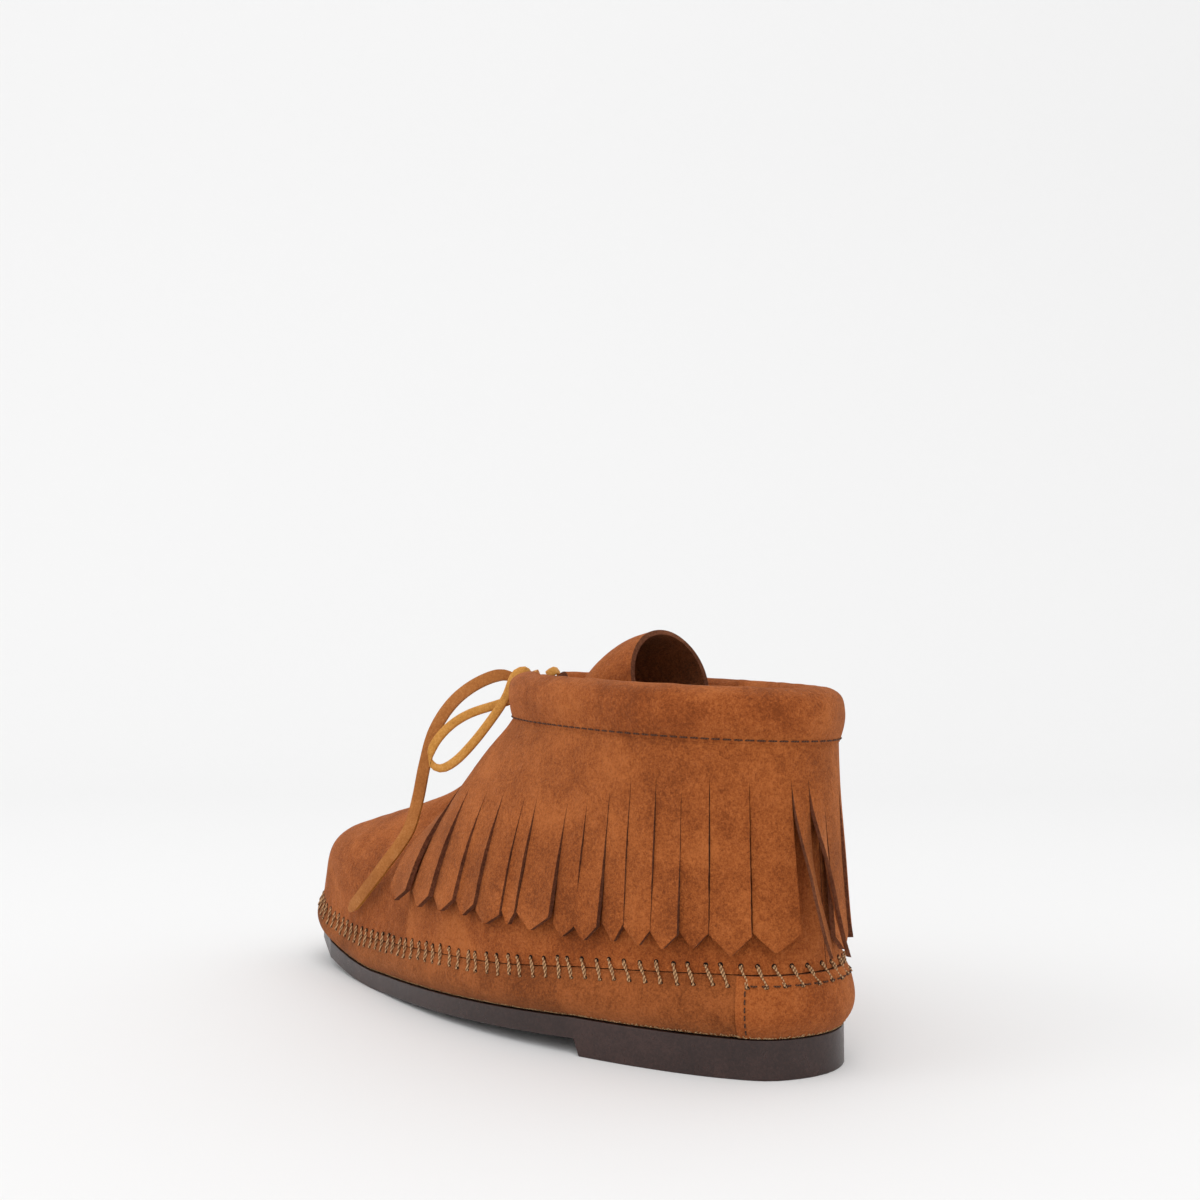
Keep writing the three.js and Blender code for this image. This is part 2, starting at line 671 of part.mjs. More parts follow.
function collarSection(angle) {
  const count = COLLAR_FOLD.length;
  const outer = [];
  const inner = [];
  for (let i = 0; i < count; i += 1) {
    const [out, share] = COLLAR_FOLD[i];
    const before = COLLAR_FOLD[Math.max(0, i - 1)];
    const after = COLLAR_FOLD[Math.min(count - 1, i + 1)];
    const along = new THREE.Vector2(after[0] - before[0], (after[1] - before[1]) * COLLAR_HEIGHT).normalize();
    outer.push([out, share * COLLAR_HEIGHT]);
    inner.push([out - along.y * SUEDE, share * COLLAR_HEIGHT + along.x * SUEDE]);
  }
  return [...outer, ...inner.reverse()].map(([out, up]) => {
    const at = collarRing(angle, out - COLLAR_OUTER_BULGE);
    const seamX = collarRing(angle, -COLLAR_OUTER_BULGE).x;
    return new THREE.Vector3(at.x, at.y, STITCH_Z + up + COLLAR_SLOPE * (seamX - ANKLE_X));
  });
}

// Angles that share the collar out into even lengths between its two front ends.
function collarAngle(share, end) {
  return Math.sign(share) * angleAtArc(Math.abs(share) * arcAtAngle(end, 1), 1);
}

function addCollar() {
  const end = Math.PI - radians(COLLAR_OPEN_ANGLE);
  const sections = [];
  for (let i = 0; i <= COLLAR_STEPS; i += 1) {
    sections.push(collarSection(collarAngle(lerp(-1, 1, i / COLLAR_STEPS), end)));
  }
  addMesh('collar_roll', loftSolid(sections), suede);
}

// A flat strip of rawhide along a curve, turned so its broad face follows the given direction.
function ribbon(points, steps, broadAt) {
  const curve = new THREE.CatmullRomCurve3(points);
  const sections = [];
  for (let i = 0; i <= steps; i += 1) {
    const at = curve.getPointAt(i / steps);
    const along = curve.getTangentAt(i / steps);
    const broad = broadAt(at, i / steps).clone();
    broad.addScaledVector(along, -broad.dot(along)).normalize();
    const flat = along.clone().cross(broad).normalize();
    const section = [];
    for (let k = 0; k < LACE_SIDES; k += 1) {
      const turn = (k + 0.5) / LACE_SIDES * Math.PI * 2;
      const wide = Math.sign(Math.cos(turn)) * Math.abs(Math.cos(turn)) ** 0.5 * LACE_WIDTH / 2;
      const thick = Math.sign(Math.sin(turn)) * Math.abs(Math.sin(turn)) ** 0.5 * LACE_THICKNESS / 2;
      section.push(at.clone().addScaledVector(broad, wide).addScaledVector(flat, thick));
    }
    sections.push(section);
  }
  return loftSolid(sections);
}

// Middle of the knot, in front of the collar's open ends.
const KNOT = new THREE.Vector3(
  ANKLE_X + COLLAR_FRONT_LENGTH - COLLAR_OUTER_BULGE + KNOT_FORWARD,
  0,
  STITCH_Z + KNOT_UP + COLLAR_SLOPE * COLLAR_FRONT_LENGTH,
);

function laceInCollar() {
  const end = Math.PI - radians(COLLAR_OPEN_ANGLE);
  const points = [];
  for (let i = -LACE_RING_POINTS / 2; i <= LACE_RING_POINTS / 2; i += 1) {
    const angle = collarAngle(i * 2 / LACE_RING_POINTS, end);
    const at = collarRing(angle, LACE_SEAT_OUT - COLLAR_OUTER_BULGE);
    points.push(new THREE.Vector3(at.x, at.y, STITCH_Z + LACE_SEAT_UP + COLLAR_SLOPE * (at.x - ANKLE_X)));
  }
  const reach = KNOT_LENGTH / 2 + FIT_GAP + LACE_THICKNESS / 2;
  points.unshift(new THREE.Vector3(KNOT.x, -reach, KNOT.z));
  points.push(new THREE.Vector3(KNOT.x, reach, KNOT.z));
  return points;
}

function freeEnd(side) {
  const air = END_IN_AIR.map(([x, y, z]) => new THREE.Vector3(x, y * side, z).add(KNOT));
  const lying = END_ON_PLUG.map(([degrees, rise, out]) => upperPoint(side * radians(degrees), rise, out));
  return [...air, ...lying];
}

// Run of the lace inside the collar fold, then the knot, the two loops and the two ends.
function addLace() {
  const upright = new THREE.Vector3(0, 0, 1);
  const leaning = new THREE.Vector3(0.3, 0, 1);
  addMesh('lace_in_collar', ribbon(laceInCollar(), LACE_RING_POINTS + 8, () => upright), rawhide);
  const knot = new THREE.CapsuleGeometry(KNOT_RADIUS, KNOT_LENGTH - KNOT_RADIUS * 2, 6, 16);
  knot.scale(0.8, 1, 0.9);
  knot.translate(KNOT.x, KNOT.y, KNOT.z);
  addMesh('lace_knot', knot, rawhide);
  for (const [name, loop, side] of [['lateral', LOOP_LATERAL, 1], ['medial', LOOP_MEDIAL, -1]]) {
    const loopPoints = loop.map(([x, y, z]) => new THREE.Vector3(x, y, z).add(KNOT));
    addMesh(`lace_loop_${name}`, ribbon(loopPoints, LOOP_STEPS, () => leaning), rawhide);
    const across = new THREE.Vector3(0.5, -side, 0);
    addMesh(`lace_end_${name}`, ribbon(freeEnd(side), END_STEPS, () => across), rawhide);
  }
}

// Root of the tongue, butted against the top edge of the plug.
function tongueRoot() {
  const outer = [];
  const inner = [];
  for (let k = 0; k <= TONGUE_ARCH_STEPS; k += 1) {
    const angle = Math.PI + radians(TONGUE_ROOT_ANGLE) * (2 * k / TONGUE_ARCH_STEPS - 1);
    const depth = plugDepth(angle, VAMP_TOP_RISE);
    const rise = VAMP_TOP_RISE + TONGUE_ROOT_GAP_RISE;
    outer.push(upperPoint(angle, rise, depth));
    inner.push(upperPoint(angle, rise, depth - TONGUE_THICKNESS));
  }
  return [...outer, ...inner.reverse()];
}

// One arched cross-section of the tongue.
function tongueSection([x, y, z, tilt, halfWidth, height]) {
  const upward = new THREE.Vector3(Math.sin(tilt), 0, Math.cos(tilt));
  const outer = [];
  const inner = [];
  for (let k = 0; k <= TONGUE_ARCH_STEPS; k += 1) {
    const overturn = radians(TONGUE_OVERTURN);
    const turn = lerp(-overturn, Math.PI + overturn, k / TONGUE_ARCH_STEPS);
    const place = (shrink) => new THREE.Vector3(
      ANKLE_X + COLLAR_FRONT_LENGTH + x,
      y + (halfWidth - shrink) * Math.cos(turn),
      STITCH_Z + z,
    ).addScaledVector(upward, (height - shrink) * Math.sin(turn));
    outer.push(place(0));
    inner.push(place(TONGUE_THICKNESS));
  }
  return [...outer, ...inner.reverse()];
}

// The tongue runs back from the plug under the knot, then rises inside the collar as an arched hood.
function addTongue() {
  addMesh('tongue', loftSolid([tongueRoot(), ...TONGUE_STATIONS.map(tongueSection)]), suede);
}

// One thread stitched over and over across the seam, all the way round.
function addWhipStitch() {
  const around = [];
  const outlineLength = outlineCurve.getLength();
  const count = Math.round(outlineLength / WHIP_PITCH);
  for (let i = 0; i < count; i += 1) {
    const nextAngle = stitchAngle((i + WHIP_SLANT) / count);
    const x = outlineAt(i / count, -SEAM_INSET).x;
    const wallHeight = seamHeight(x) - soleTop(x);
    const low = wrapWall(i / count, 1 - WHIP_REACH / wallHeight, -WHIP_THREAD / 2 - FIT_GAP);
    const rise = riseAt(nextAngle, seamHeight(x) + WHIP_REACH);
    const high = upperPoint(nextAngle, rise, WHIP_THREAD / 2 + FIT_GAP + 0.2);
    around.push(low, high);
  }
  const geometry = threadRing(around, WHIP_THREAD / 2, THREAD_SIDES);
  addMesh('whip_thread', geometry, thread);
}

// A thread through a closed row of points, straight between them.
function threadRing(points, radius, sides) {
  const sections = points.map((at, i) => {
    const before = points[(i - 1 + points.length) % points.length];
    const after = points[(i + 1) % points.length];
    const along = after.clone().sub(at).normalize().add(at.clone().sub(before).normalize()).normalize();
    const side = new THREE.Vector3(0, 0, 1).cross(after.clone().sub(before)).normalize();
    const out = side.clone().addScaledVector(along, -side.dot(along)).normalize();
    const up = along.clone().cross(out).normalize();
    const section = [];
    for (let k = 0; k < sides; k += 1) {
      const turn = k / sides * Math.PI * 2;
      const place = at.clone().addScaledVector(out, radius * Math.cos(turn));
      section.push(place.addScaledVector(up, radius * Math.sin(turn)));
    }
    return section;
  });
  return loftSolid(sections, true);
}

function addCollarThread() {
  const sections = [];
  const end = Math.PI - radians(COLLAR_OPEN_ANGLE) - radians(1);
  const out = COLLAR_LIP_OUT + COLLAR_THREAD / 2 + FIT_GAP * 1.5;
  for (let i = 0; i <= COLLAR_STEPS; i += 1) {
    const angle = lerp(-end, end, i / COLLAR_STEPS);
    const section = [];
    for (let k = 0; k < THREAD_SIDES; k += 1) {
      const turn = k / THREAD_SIDES * Math.PI * 2;
      const at = collarRing(angle, out + COLLAR_THREAD / 2 * Math.cos(turn) - COLLAR_OUTER_BULGE);
      const z = STITCH_Z + COLLAR_THREAD / 2 * Math.sin(turn) + COLLAR_SLOPE * (at.x - ANKLE_X);
      section.push(new THREE.Vector3(at.x, at.y, z));
    }
    sections.push(section);
  }
  addMesh('collar_thread', loftSolid(sections), darkThread);
}

addBottom();
addLowerWrap();
addQuarters();
addVamp();
addFringe();
addCollar();
addTongue();
addLace();
addWhipStitch();
addCollarThread();

// Middle of the shoe over the origin, sole on the ground.
const bounds = new THREE.Box3();
for (const mesh of part.children) {
  if (!mesh.name.startsWith('lace_')) bounds.expandByObject(mesh);
}
const centre = bounds.getCenter(new THREE.Vector3());
part.position.set(-centre.x, -centre.y, -bounds.min.z);
part.updateMatrixWorld(true);

export default part;
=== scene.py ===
import bpy
import bmesh
import json
import math
import random
import numpy as np
from mathutils import Vector, Matrix, noise


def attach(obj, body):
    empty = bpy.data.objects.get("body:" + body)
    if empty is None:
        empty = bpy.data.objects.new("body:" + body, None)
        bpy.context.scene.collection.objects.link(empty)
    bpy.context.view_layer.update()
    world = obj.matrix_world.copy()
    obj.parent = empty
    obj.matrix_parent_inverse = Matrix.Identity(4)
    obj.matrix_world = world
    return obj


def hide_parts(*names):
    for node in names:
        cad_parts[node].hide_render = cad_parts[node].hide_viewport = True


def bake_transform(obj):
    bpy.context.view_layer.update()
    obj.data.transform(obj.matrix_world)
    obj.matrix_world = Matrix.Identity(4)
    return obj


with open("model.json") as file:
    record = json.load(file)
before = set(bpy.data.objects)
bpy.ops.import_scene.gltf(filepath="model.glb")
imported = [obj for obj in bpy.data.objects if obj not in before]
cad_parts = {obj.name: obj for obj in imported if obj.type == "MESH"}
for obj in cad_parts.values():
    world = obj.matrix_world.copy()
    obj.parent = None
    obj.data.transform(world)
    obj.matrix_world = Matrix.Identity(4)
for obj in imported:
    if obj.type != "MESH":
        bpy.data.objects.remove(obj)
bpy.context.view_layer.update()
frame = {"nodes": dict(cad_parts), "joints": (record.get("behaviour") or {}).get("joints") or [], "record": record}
NODES = frame["nodes"]
rng = random.Random(11)

# ---------------------------------------------------------------- camera
scene = bpy.context.scene
camera_data = bpy.data.cameras.new("camera")
camera_data.lens = 41.51
camera_data.sensor_width = 36
camera_data.clip_start = 0.01
camera = bpy.data.objects.new("camera", camera_data)
scene.collection.objects.link(camera)
camera.location = (-0.39493, 0.31908, 0.11448)
camera.rotation_mode = "QUATERNION"
camera.rotation_quaternion = Vector((0.748665, -0.660409, 0.057965)).to_track_quat("-Z", "Y")
scene.camera = camera

# ---------------------------------------------------------------- shape of the shoe
# In millimetres, measured from the back of the heel. metres() takes them to the frame.
SHIFT = np.array([-130.802, -2.358, 0.0])
LENGTH, WIDTH = 261.0, 92.0
HEEL_HEIGHT, SOLE_THICKNESS, HEEL_LENGTH, TOE_SPRING = 11.4, 6.3, 64.0, 12.0
COLLAR_TOP, REAR, FRONT, HALF = 114.5, 59.0, 77.0, 37.0
SLOPE, SQUARE, COLLAR_HEIGHT, BULGE, OPEN = 0.045, 2.15, 16.5, 4.0, math.radians(12)
SUEDE, GAP, SEAM_GAP, INSET = 1.8, 0.3, 0.3, 0.2
STITCH_Z = COLLAR_TOP - COLLAR_HEIGHT
SLIT_Z, FRONT_SLIT_Z, TIP_Z = STITCH_Z - 10, 76.0, 36.0
FRINGE_OUT = 2.6
BALL_X = LENGTH * 0.71
OUTLINE = [
    [0.0, 0.0], [0.019, 0.19], [0.065, 0.29], [0.172, 0.413], [0.326, 0.508], [0.46, 0.525], [0.575, 0.496],
    [0.67, 0.449], [0.747, 0.411], [0.824, 0.366], [0.9, 0.315], [0.958, 0.228], [0.989, 0.12], [1.0, 0.0],
    [0.989, -0.136], [0.95, -0.272], [0.889, -0.391], [0.812, -0.457], [0.736, -0.473], [0.659, -0.446],
    [0.556, -0.37], [0.441, -0.315], [0.326, -0.31], [0.172, -0.326], [0.065, -0.25], [0.019, -0.152]]
INSTEP = [[0, 0], [0.1, 0.001], [0.2, 0.01], [0.28, 0.03], [0.35, 0.085], [0.41, 0.2], [0.47, 0.38],
          [0.58, 0.61], [0.78, 0.81], [1, 1]]
LATERAL = [5.6, 5.6, 12.4, 12.2, 9, 9, 9.6, 8.2, 9.4, 9, 15, 6.5, 12, 10.6, 13, 14, 15]
MEDIAL_WIDTH, MEDIAL_COUNT = 10.6, 16


def smooth(x, a, b):
    t = np.clip((np.asarray(x, float) - a) / (b - a), 0, 1)
    return t * t * (3 - 2 * t)


def mix(a, b, t):
    return a + (b - a) * t


def catmull(points, count, closed):
    """Points on a centripetal Catmull-Rom curve."""
    p = [np.array(q, float) for q in points]
    n = len(p)
    spans = n if closed else n - 1
    out = []
    for k in range(count):
        t = spans * k / (count if closed else count - 1)
        i = min(int(t), spans - 1)
        w = t - i
        if closed:
            a, b, c, d = (p[(i + j - 1) % n] for j in range(4))
        else:
            b, c = p[i], p[i + 1]
            a = p[i - 1] if i > 0 else 2 * b - c
            d = p[i + 2] if i + 2 < n else 2 * c - b
        da, db, dc = (max(np.linalg.norm(u - v), 1e-9) ** 0.5 for u, v in ((b, a), (c, b), (d, c)))
        m1 = ((b - a) / da - (c - a) / (da + db) + (c - b) / db) * db
        m2 = ((c - b) / db - (d - b) / (db + dc) + (d - c) / dc) * db
        out.append(b + m1 * w + (-3 * b + 3 * c - 2 * m1 - m2) * w * w + (2 * b - 2 * c + m1 + m2) * w ** 3)
    return np.array(out)


EDGE = catmull([[a * LENGTH, b * WIDTH] for a, b in OUTLINE], 2080, True)
STEP = np.roll(EDGE, -1, 0) - np.roll(EDGE, 1, 0)
TANGENT = STEP / np.linalg.norm(STEP, axis=1)[:, None]
ALONG = np.concatenate([[0], np.cumsum(np.linalg.norm(np.roll(EDGE, -1, 0) - EDGE, axis=1))])
PERIMETER = ALONG[-1]
SHARES = ALONG / PERIMETER


def outline_at(share, offset):
    """Places on the edge of the sole, offset outward, at shares of the way round from the heel."""
    turn = np.mod(share, 1)
    closed = [np.append(c, c[0]) for c in (EDGE[:, 0], EDGE[:, 1], TANGENT[:, 0], TANGENT[:, 1])]
    x, y, tx, ty = (np.interp(turn, SHARES, c) for c in closed)
    return x - ty * offset, y + tx * offset


def outline_polar(angle, offset):
    """Places on the edge of the sole at angles about the ankle."""
    x = EDGE[:, 0] - TANGENT[:, 1] * offset
    y = EDGE[:, 1] + TANGENT[:, 0] * offset
    around = np.arctan2(y, REAR - x)
    order = np.argsort(around)
    turn = np.arctan2(np.sin(angle), np.cos(angle))
    return (np.interp(turn, around[order], x[order], period=2 * math.pi),
            np.interp(turn, around[order], y[order], period=2 * math.pi))


STITCH_ANGLE = np.unwrap(np.arctan2(EDGE[:, 1], REAR - EDGE[:, 0]))
STITCH_ANGLE = np.append(STITCH_ANGLE - STITCH_ANGLE[0], 2 * math.pi)


def share_at(angle):
    return np.interp(np.mod(angle, 2 * math.pi), STITCH_ANGLE, SHARES)


def angle_at(share):
    return np.interp(np.mod(share, 1), SHARES, STITCH_ANGLE)


def sole_top(x):
    x = np.asarray(x, float)
    lift = HEEL_HEIGHT - SOLE_THICKNESS
    waist = lift * (BALL_X - x) / (BALL_X - HEEL_LENGTH)
    toe = TOE_SPRING * np.clip((x - BALL_X) / (LENGTH - BALL_X), 0, 1) ** 2
    return np.where(x < HEEL_LENGTH, lift, np.where(x < BALL_X, waist, toe)) + SOLE_THICKNESS


def seam_height(x):
    rear = mix(18.5, 13.5, smooth(x, 0, BALL_X * 0.6))
    front = mix(13.5, 10.5, smooth(x, BALL_X * 0.6, LENGTH))
    return sole_top(x) + np.where(np.asarray(x) < BALL_X * 0.6, rear, front)


INSTEP_SMOOTHING = 15
INSTEP_RISE = np.linspace(0, 1, 201)
INSTEP_STEPS = np.interp(INSTEP_RISE, [p[0] for p in INSTEP], [p[1] for p in INSTEP])
INSTEP_PADDED = np.concatenate([
    -INSTEP_STEPS[INSTEP_SMOOTHING - 1:0:-1], INSTEP_STEPS, 2 - INSTEP_STEPS[-2:-INSTEP_SMOOTHING - 1:-1]])
INSTEP_WINDOW = np.hanning(2 * INSTEP_SMOOTHING + 1)
INSTEP_RUN = np.convolve(INSTEP_PADDED, INSTEP_WINDOW[1:-1] / INSTEP_WINDOW.sum(), "valid")


def collar_ring(angle, offset):
    """The opening of the shoe seen from above: round at the back and squarer at the front."""
    c, s = np.cos(angle), np.sin(angle)
    power = 2 / SQUARE
    x = np.where(c >= 0, REAR - (REAR + offset) * c, REAR + (FRONT + offset) * np.abs(c) ** power)
    y = np.where(c >= 0, (HALF + offset) * s, (HALF + offset) * np.sign(s) * np.abs(s) ** power)
    return x, y


def upper_face(angle, rise):
    """The outer face of the upper, from the whip-stitched seam at rise 0 to the collar seam at rise 1."""
    angle, rise = np.broadcast_arrays(np.asarray(angle, float), np.asarray(rise, float))
    lx, ly = outline_polar(angle, -INSET)
    hx, hy = collar_ring(angle, -BULGE)
    bounded = np.maximum(0, rise)
    turn = np.abs(np.arctan2(np.sin(angle), np.cos(angle)))
    frontness = smooth(turn, math.radians(148), math.radians(170))
    fullness = mix(1, 1.9, smooth(turn, math.radians(70), math.radians(150)))
    instep = np.interp(np.minimum(1, bounded), INSTEP_RISE, INSTEP_RUN)
    run = mix(bounded ** fullness, instep, frontness)
    run = np.minimum(run, 1)
    low = seam_height(lx) + SEAM_GAP / 2
    high = STITCH_Z + SLOPE * (hx - REAR)
    return np.stack([mix(lx, hx, run), mix(ly, hy, run), mix(low, high, rise)], -1)


def upper_normal(angle, rise):
    step = 0.01
    across = upper_face(angle + step, rise) - upper_face(angle - step, rise)
    up = upper_face(angle, rise + step) - upper_face(angle, np.maximum(0, rise - step))
    normal = np.cross(up, across)
    normal[..., 2] *= smooth(rise, 0, 0.1) * (1 - smooth(rise, 0.75, 0.97))
    return normal / np.linalg.norm(normal, axis=-1)[..., None]


def upper_point(angle, rise, out):
    """A place on the upper, moved out along its normal."""
    return upper_face(angle, rise) + upper_normal(angle, rise) * np.asarray(out)[..., None]


ARC_TABLES = {}


def arc_table(rise):
    key = round(float(rise) * 200) / 200
    if key not in ARC_TABLES:
        turns = np.radians(np.arange(-175, 176))
        points = upper_face(turns, np.full(turns.shape, key))
        lengths = np.concatenate([[0], np.cumsum(np.linalg.norm(np.diff(points, axis=0), axis=1))])
        ARC_TABLES[key] = (lengths - lengths[175], turns)
    return ARC_TABLES[key]


def angle_at_arc(arc, rise):
    lengths, turns = arc_table(rise)
    return np.interp(arc, lengths, turns)


def arc_at_angle(angle, rise):
    lengths, turns = arc_table(rise)
    return np.interp(angle, turns, lengths)


def slit_height(arc):
    return mix(SLIT_Z, FRONT_SLIT_Z, smooth(np.abs(arc), 55, 90))


def fringe_spot(arc, z):
    """Angle and rise on the upper of a place on the fringe."""
    share = (z - TIP_Z) / (STITCH_Z - TIP_Z)
    narrowed = arc * mix(1, mix(0.9, 0.95, float(smooth(abs(arc), 55, 180))), share)
    rise, angle = 0.5, 0.0
    for _ in range(4):
        angle = float(angle_at_arc(narrowed, rise))
        ends = upper_face(np.array([angle, angle]), np.array([0.0, 1.0]))
        lean = SLOPE * (ends[1][0] - REAR) * share
        rise = (z + lean - ends[0][2]) / (ends[1][2] - ends[0][2])
    return angle, rise


def metres(points):
    return (np.asarray(points, float) + SHIFT) / 1000


# ---------------------------------------------------------------- building pieces
def finish_piece(name, bm, body, materials, hides=(), smooth_angle=50):
    bmesh.ops.recalc_face_normals(bm, faces=bm.faces)
    mesh = bpy.data.meshes.new(name)
    bm.to_mesh(mesh)
    bm.free()
    obj = bpy.data.objects.new(name, mesh)
    scene.collection.objects.link(obj)
    for material in materials:
        mesh.materials.append(material)
    for polygon in mesh.polygons:
        polygon.use_smooth = True
    mesh.set_sharp_from_angle(angle=math.radians(smooth_angle))
    if body:
        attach(obj, body)
    if hides:
        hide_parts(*hides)
    return obj


def hide_sheet(columns, rows, place, inner_place, inside=0):
    """A sheet of leather with real thickness: a grid bent into place on its outer and its inner face.

    The material slots are 0 for the faces, 1 for the cut edges and inside for the inner face.
    """
    bm = bmesh.new()
    bm.loops.layers.uv.new("UVMap")
    bmesh.ops.create_grid(bm, x_segments=columns, y_segments=rows, size=1, calc_uvs=True)
    base = list(bm.verts)
    made = bmesh.ops.extrude_face_region(bm, geom=list(bm.faces), use_keep_orig=True)
    outer = set(v for v in made["geom"] if isinstance(v, bmesh.types.BMVert))
    for face in bm.faces:
        kinds = set(v in outer for v in face.verts)
        if len(kinds) == 2:
            face.material_index = 1
        else:
            face.material_index = 0 if True in kinds else inside
    for verts, bend in ((base, inner_place), (list(outer), place)):
        by_row = {}
        for v in verts:
            by_row.setdefault(round(v.co.y, 5), []).append(v)
        for y, row in by_row.items():
            across = np.array([(v.co.x + 1) / 2 for v in row])
            for v, point in zip(row, metres(bend(across, (y + 1) / 2))):
                v.co = point
    return bm


def refined(node, name, materials, subdivide=1, smooth_angle=60, bevel=0):
    """A CAD piece with its faces merged, rounded and smoothed."""
    bm = bmesh.new()
    bm.from_mesh(NODES[node].data)
    bmesh.ops.remove_doubles(bm, verts=bm.verts, dist=1e-6)
    bmesh.ops.join_triangles(bm, faces=bm.faces, cmp_seam=False, cmp_sharp=False, cmp_uvs=False,
                             cmp_vcols=False, cmp_materials=False, angle_face_threshold=0.7,
                             angle_shape_threshold=1.2)
    obj = finish_piece(name, bm, body_of(node), materials, (node,), smooth_angle)
    if bevel:
        modifier = obj.modifiers.new("edges", "BEVEL")
        modifier.width = bevel
        modifier.segments = 2
        modifier.limit_method = "ANGLE"
        modifier.angle_limit = math.radians(40)
    if subdivide:
        modifier = obj.modifiers.new("round", "SUBSURF")
        modifier.levels = subdivide
        modifier.render_levels = subdivide
    return obj


def body_of(node):
    for body, members in frame["record"]["behaviour"]["bodies"].items():
        if node in members:
            return body
    return "shoe"


def stitches(name, runs, radius, material, body="shoe", hides=()):
    """Many short runs of thread in one curve, each through its points."""
    data = bpy.data.curves.new(name, "CURVE")
    data.dimensions = "3D"
    data.bevel_depth = radius / 1000
    data.bevel_resolution = 2
    data.use_fill_caps = True
    for run in runs:
        spline = data.splines.new("POLY")
        spline.points.add(len(run) - 1)
        for point, at in zip(spline.points, metres(run)):
            point.co = (*at, 1)
        spline.use_smooth = True
    data.materials.append(material)
    obj = bpy.data.objects.new(name, data)
    scene.collection.objects.link(obj)
    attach(obj, body)
    if hides:
        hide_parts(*hides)
    return obj


def wave_noise(points, scale, seed):
    """Smooth noise at each point. The scale is in waves a millimetre."""
    return np.array([noise.noise(Vector((p[0] * scale + seed, p[1] * scale, p[2] * scale))) for p in points])


# ---------------------------------------------------------------- materials
def nap_group():
    """Mottling, brushed streaks and fine nap of suede: a colour factor, a height and a scuff mask."""
    group = bpy.data.node_groups.new("nap", "ShaderNodeTree")
    interface = group.interface
    for label in ("Mottle", "Height", "Scuff"):
        interface.new_socket(label, in_out="OUTPUT", socket_type="NodeSocketFloat")
    place = group.nodes.new("ShaderNodeTexCoord")
    out = group.nodes.new("NodeGroupOutput")
    made = {}
    for label, scale, detail, rough, distortion in (
            ("large", 38, 5, 0.6, 0.5), ("streak", 210, 5, 0.7, 0.8), ("fibre", 2600, 3, 0.7, 0),
            ("tuft", 1100, 4, 0.8, 0.3)):
        node = group.nodes.new("ShaderNodeTexNoise")
        node.inputs["Scale"].default_value = scale
        node.inputs["Detail"].default_value = detail
        node.inputs["Roughness"].default_value = rough
        node.inputs["Distortion"].default_value = distortion
        group.links.new(place.outputs["Object"], node.inputs["Vector"])
        made[label] = node.outputs["Fac"]

    def math_node(kind, a, b):
        node = group.nodes.new("ShaderNodeMath")
        node.operation = kind
        for i, value in enumerate((a, b)):
            if isinstance(value, (int, float)):
                node.inputs[i].default_value = value
            else:
                group.links.new(value, node.inputs[i])
        return node.outputs[0]

    fine = math_node("ADD", math_node("MULTIPLY", made["tuft"], 0.42),
                     math_node("MULTIPLY", made["fibre"], 0.22))
    mottle = math_node("ADD", math_node("MULTIPLY", made["large"], 0.36),
                       math_node("ADD", math_node("MULTIPLY", made["streak"], 0.16), fine))
    height = math_node("ADD", math_node("MULTIPLY", made["fibre"], 0.55),
                       math_node("ADD", made["tuft"], math_node("MULTIPLY", made["streak"], 1.2)))
    ramp = group.nodes.new("ShaderNodeValToRGB")
    ramp.color_ramp.elements[0].position = 0.53
    ramp.color_ramp.elements[1].position = 0.72
    group.links.new(made["streak"], ramp.inputs["Fac"])
    group.links.new(mottle, out.inputs["Mottle"])
    group.links.new(height, out.inputs["Height"])
    group.links.new(ramp.outputs["Color"], out.inputs["Scuff"])
    return group


NAP = nap_group()


def leather(name, dark, mid, light, bump=0.85, roughness=0.94, sheen=0.25, spread=(0.5, 0.58, 0.662)):
    """Brushed leather, mottled between three colours and smoother where it is rubbed."""
    material = bpy.data.materials.new(name)
    material.use_nodes = True
    tree = material.node_tree
    shader = tree.nodes["Principled BSDF"]
    nap = tree.nodes.new("ShaderNodeGroup")
    nap.node_tree = NAP
    ramp = tree.nodes.new("ShaderNodeValToRGB")
    ramp.color_ramp.elements[0].position = spread[0]
    ramp.color_ramp.elements[0].color = (*dark, 1)
    ramp.color_ramp.elements[1].position = spread[2]
    ramp.color_ramp.elements[1].color = (*light, 1)
    middle = ramp.color_ramp.elements.new(spread[1])
    middle.color = (*mid, 1)
    relief = tree.nodes.new("ShaderNodeBump")
    relief.inputs["Strength"].default_value = bump
    relief.inputs["Distance"].default_value = 0.0005
    rough = tree.nodes.new("ShaderNodeMapRange")
    rough.inputs["To Min"].default_value = roughness
    rough.inputs["To Max"].default_value = max(0.2, roughness - 0.18)
    join = tree.links.new
    join(nap.outputs["Mottle"], ramp.inputs["Fac"])
    join(nap.outputs["Height"], relief.inputs["Height"])
    join(nap.outputs["Scuff"], rough.inputs["Value"])
    join(ramp.outputs["Color"], shader.inputs["Base Color"])
    join(rough.outputs["Result"], shader.inputs["Roughness"])
    join(relief.outputs["Normal"], shader.inputs["Normal"])
    shader.inputs["Sheen Weight"].default_value = sheen
    shader.inputs["Sheen Roughness"].default_value = 0.45
    shader.inputs["Sheen Tint"].default_value = (0.85, 0.45, 0.22, 1)
    shader.inputs["Specular IOR Level"].default_value = 0.15
    return material


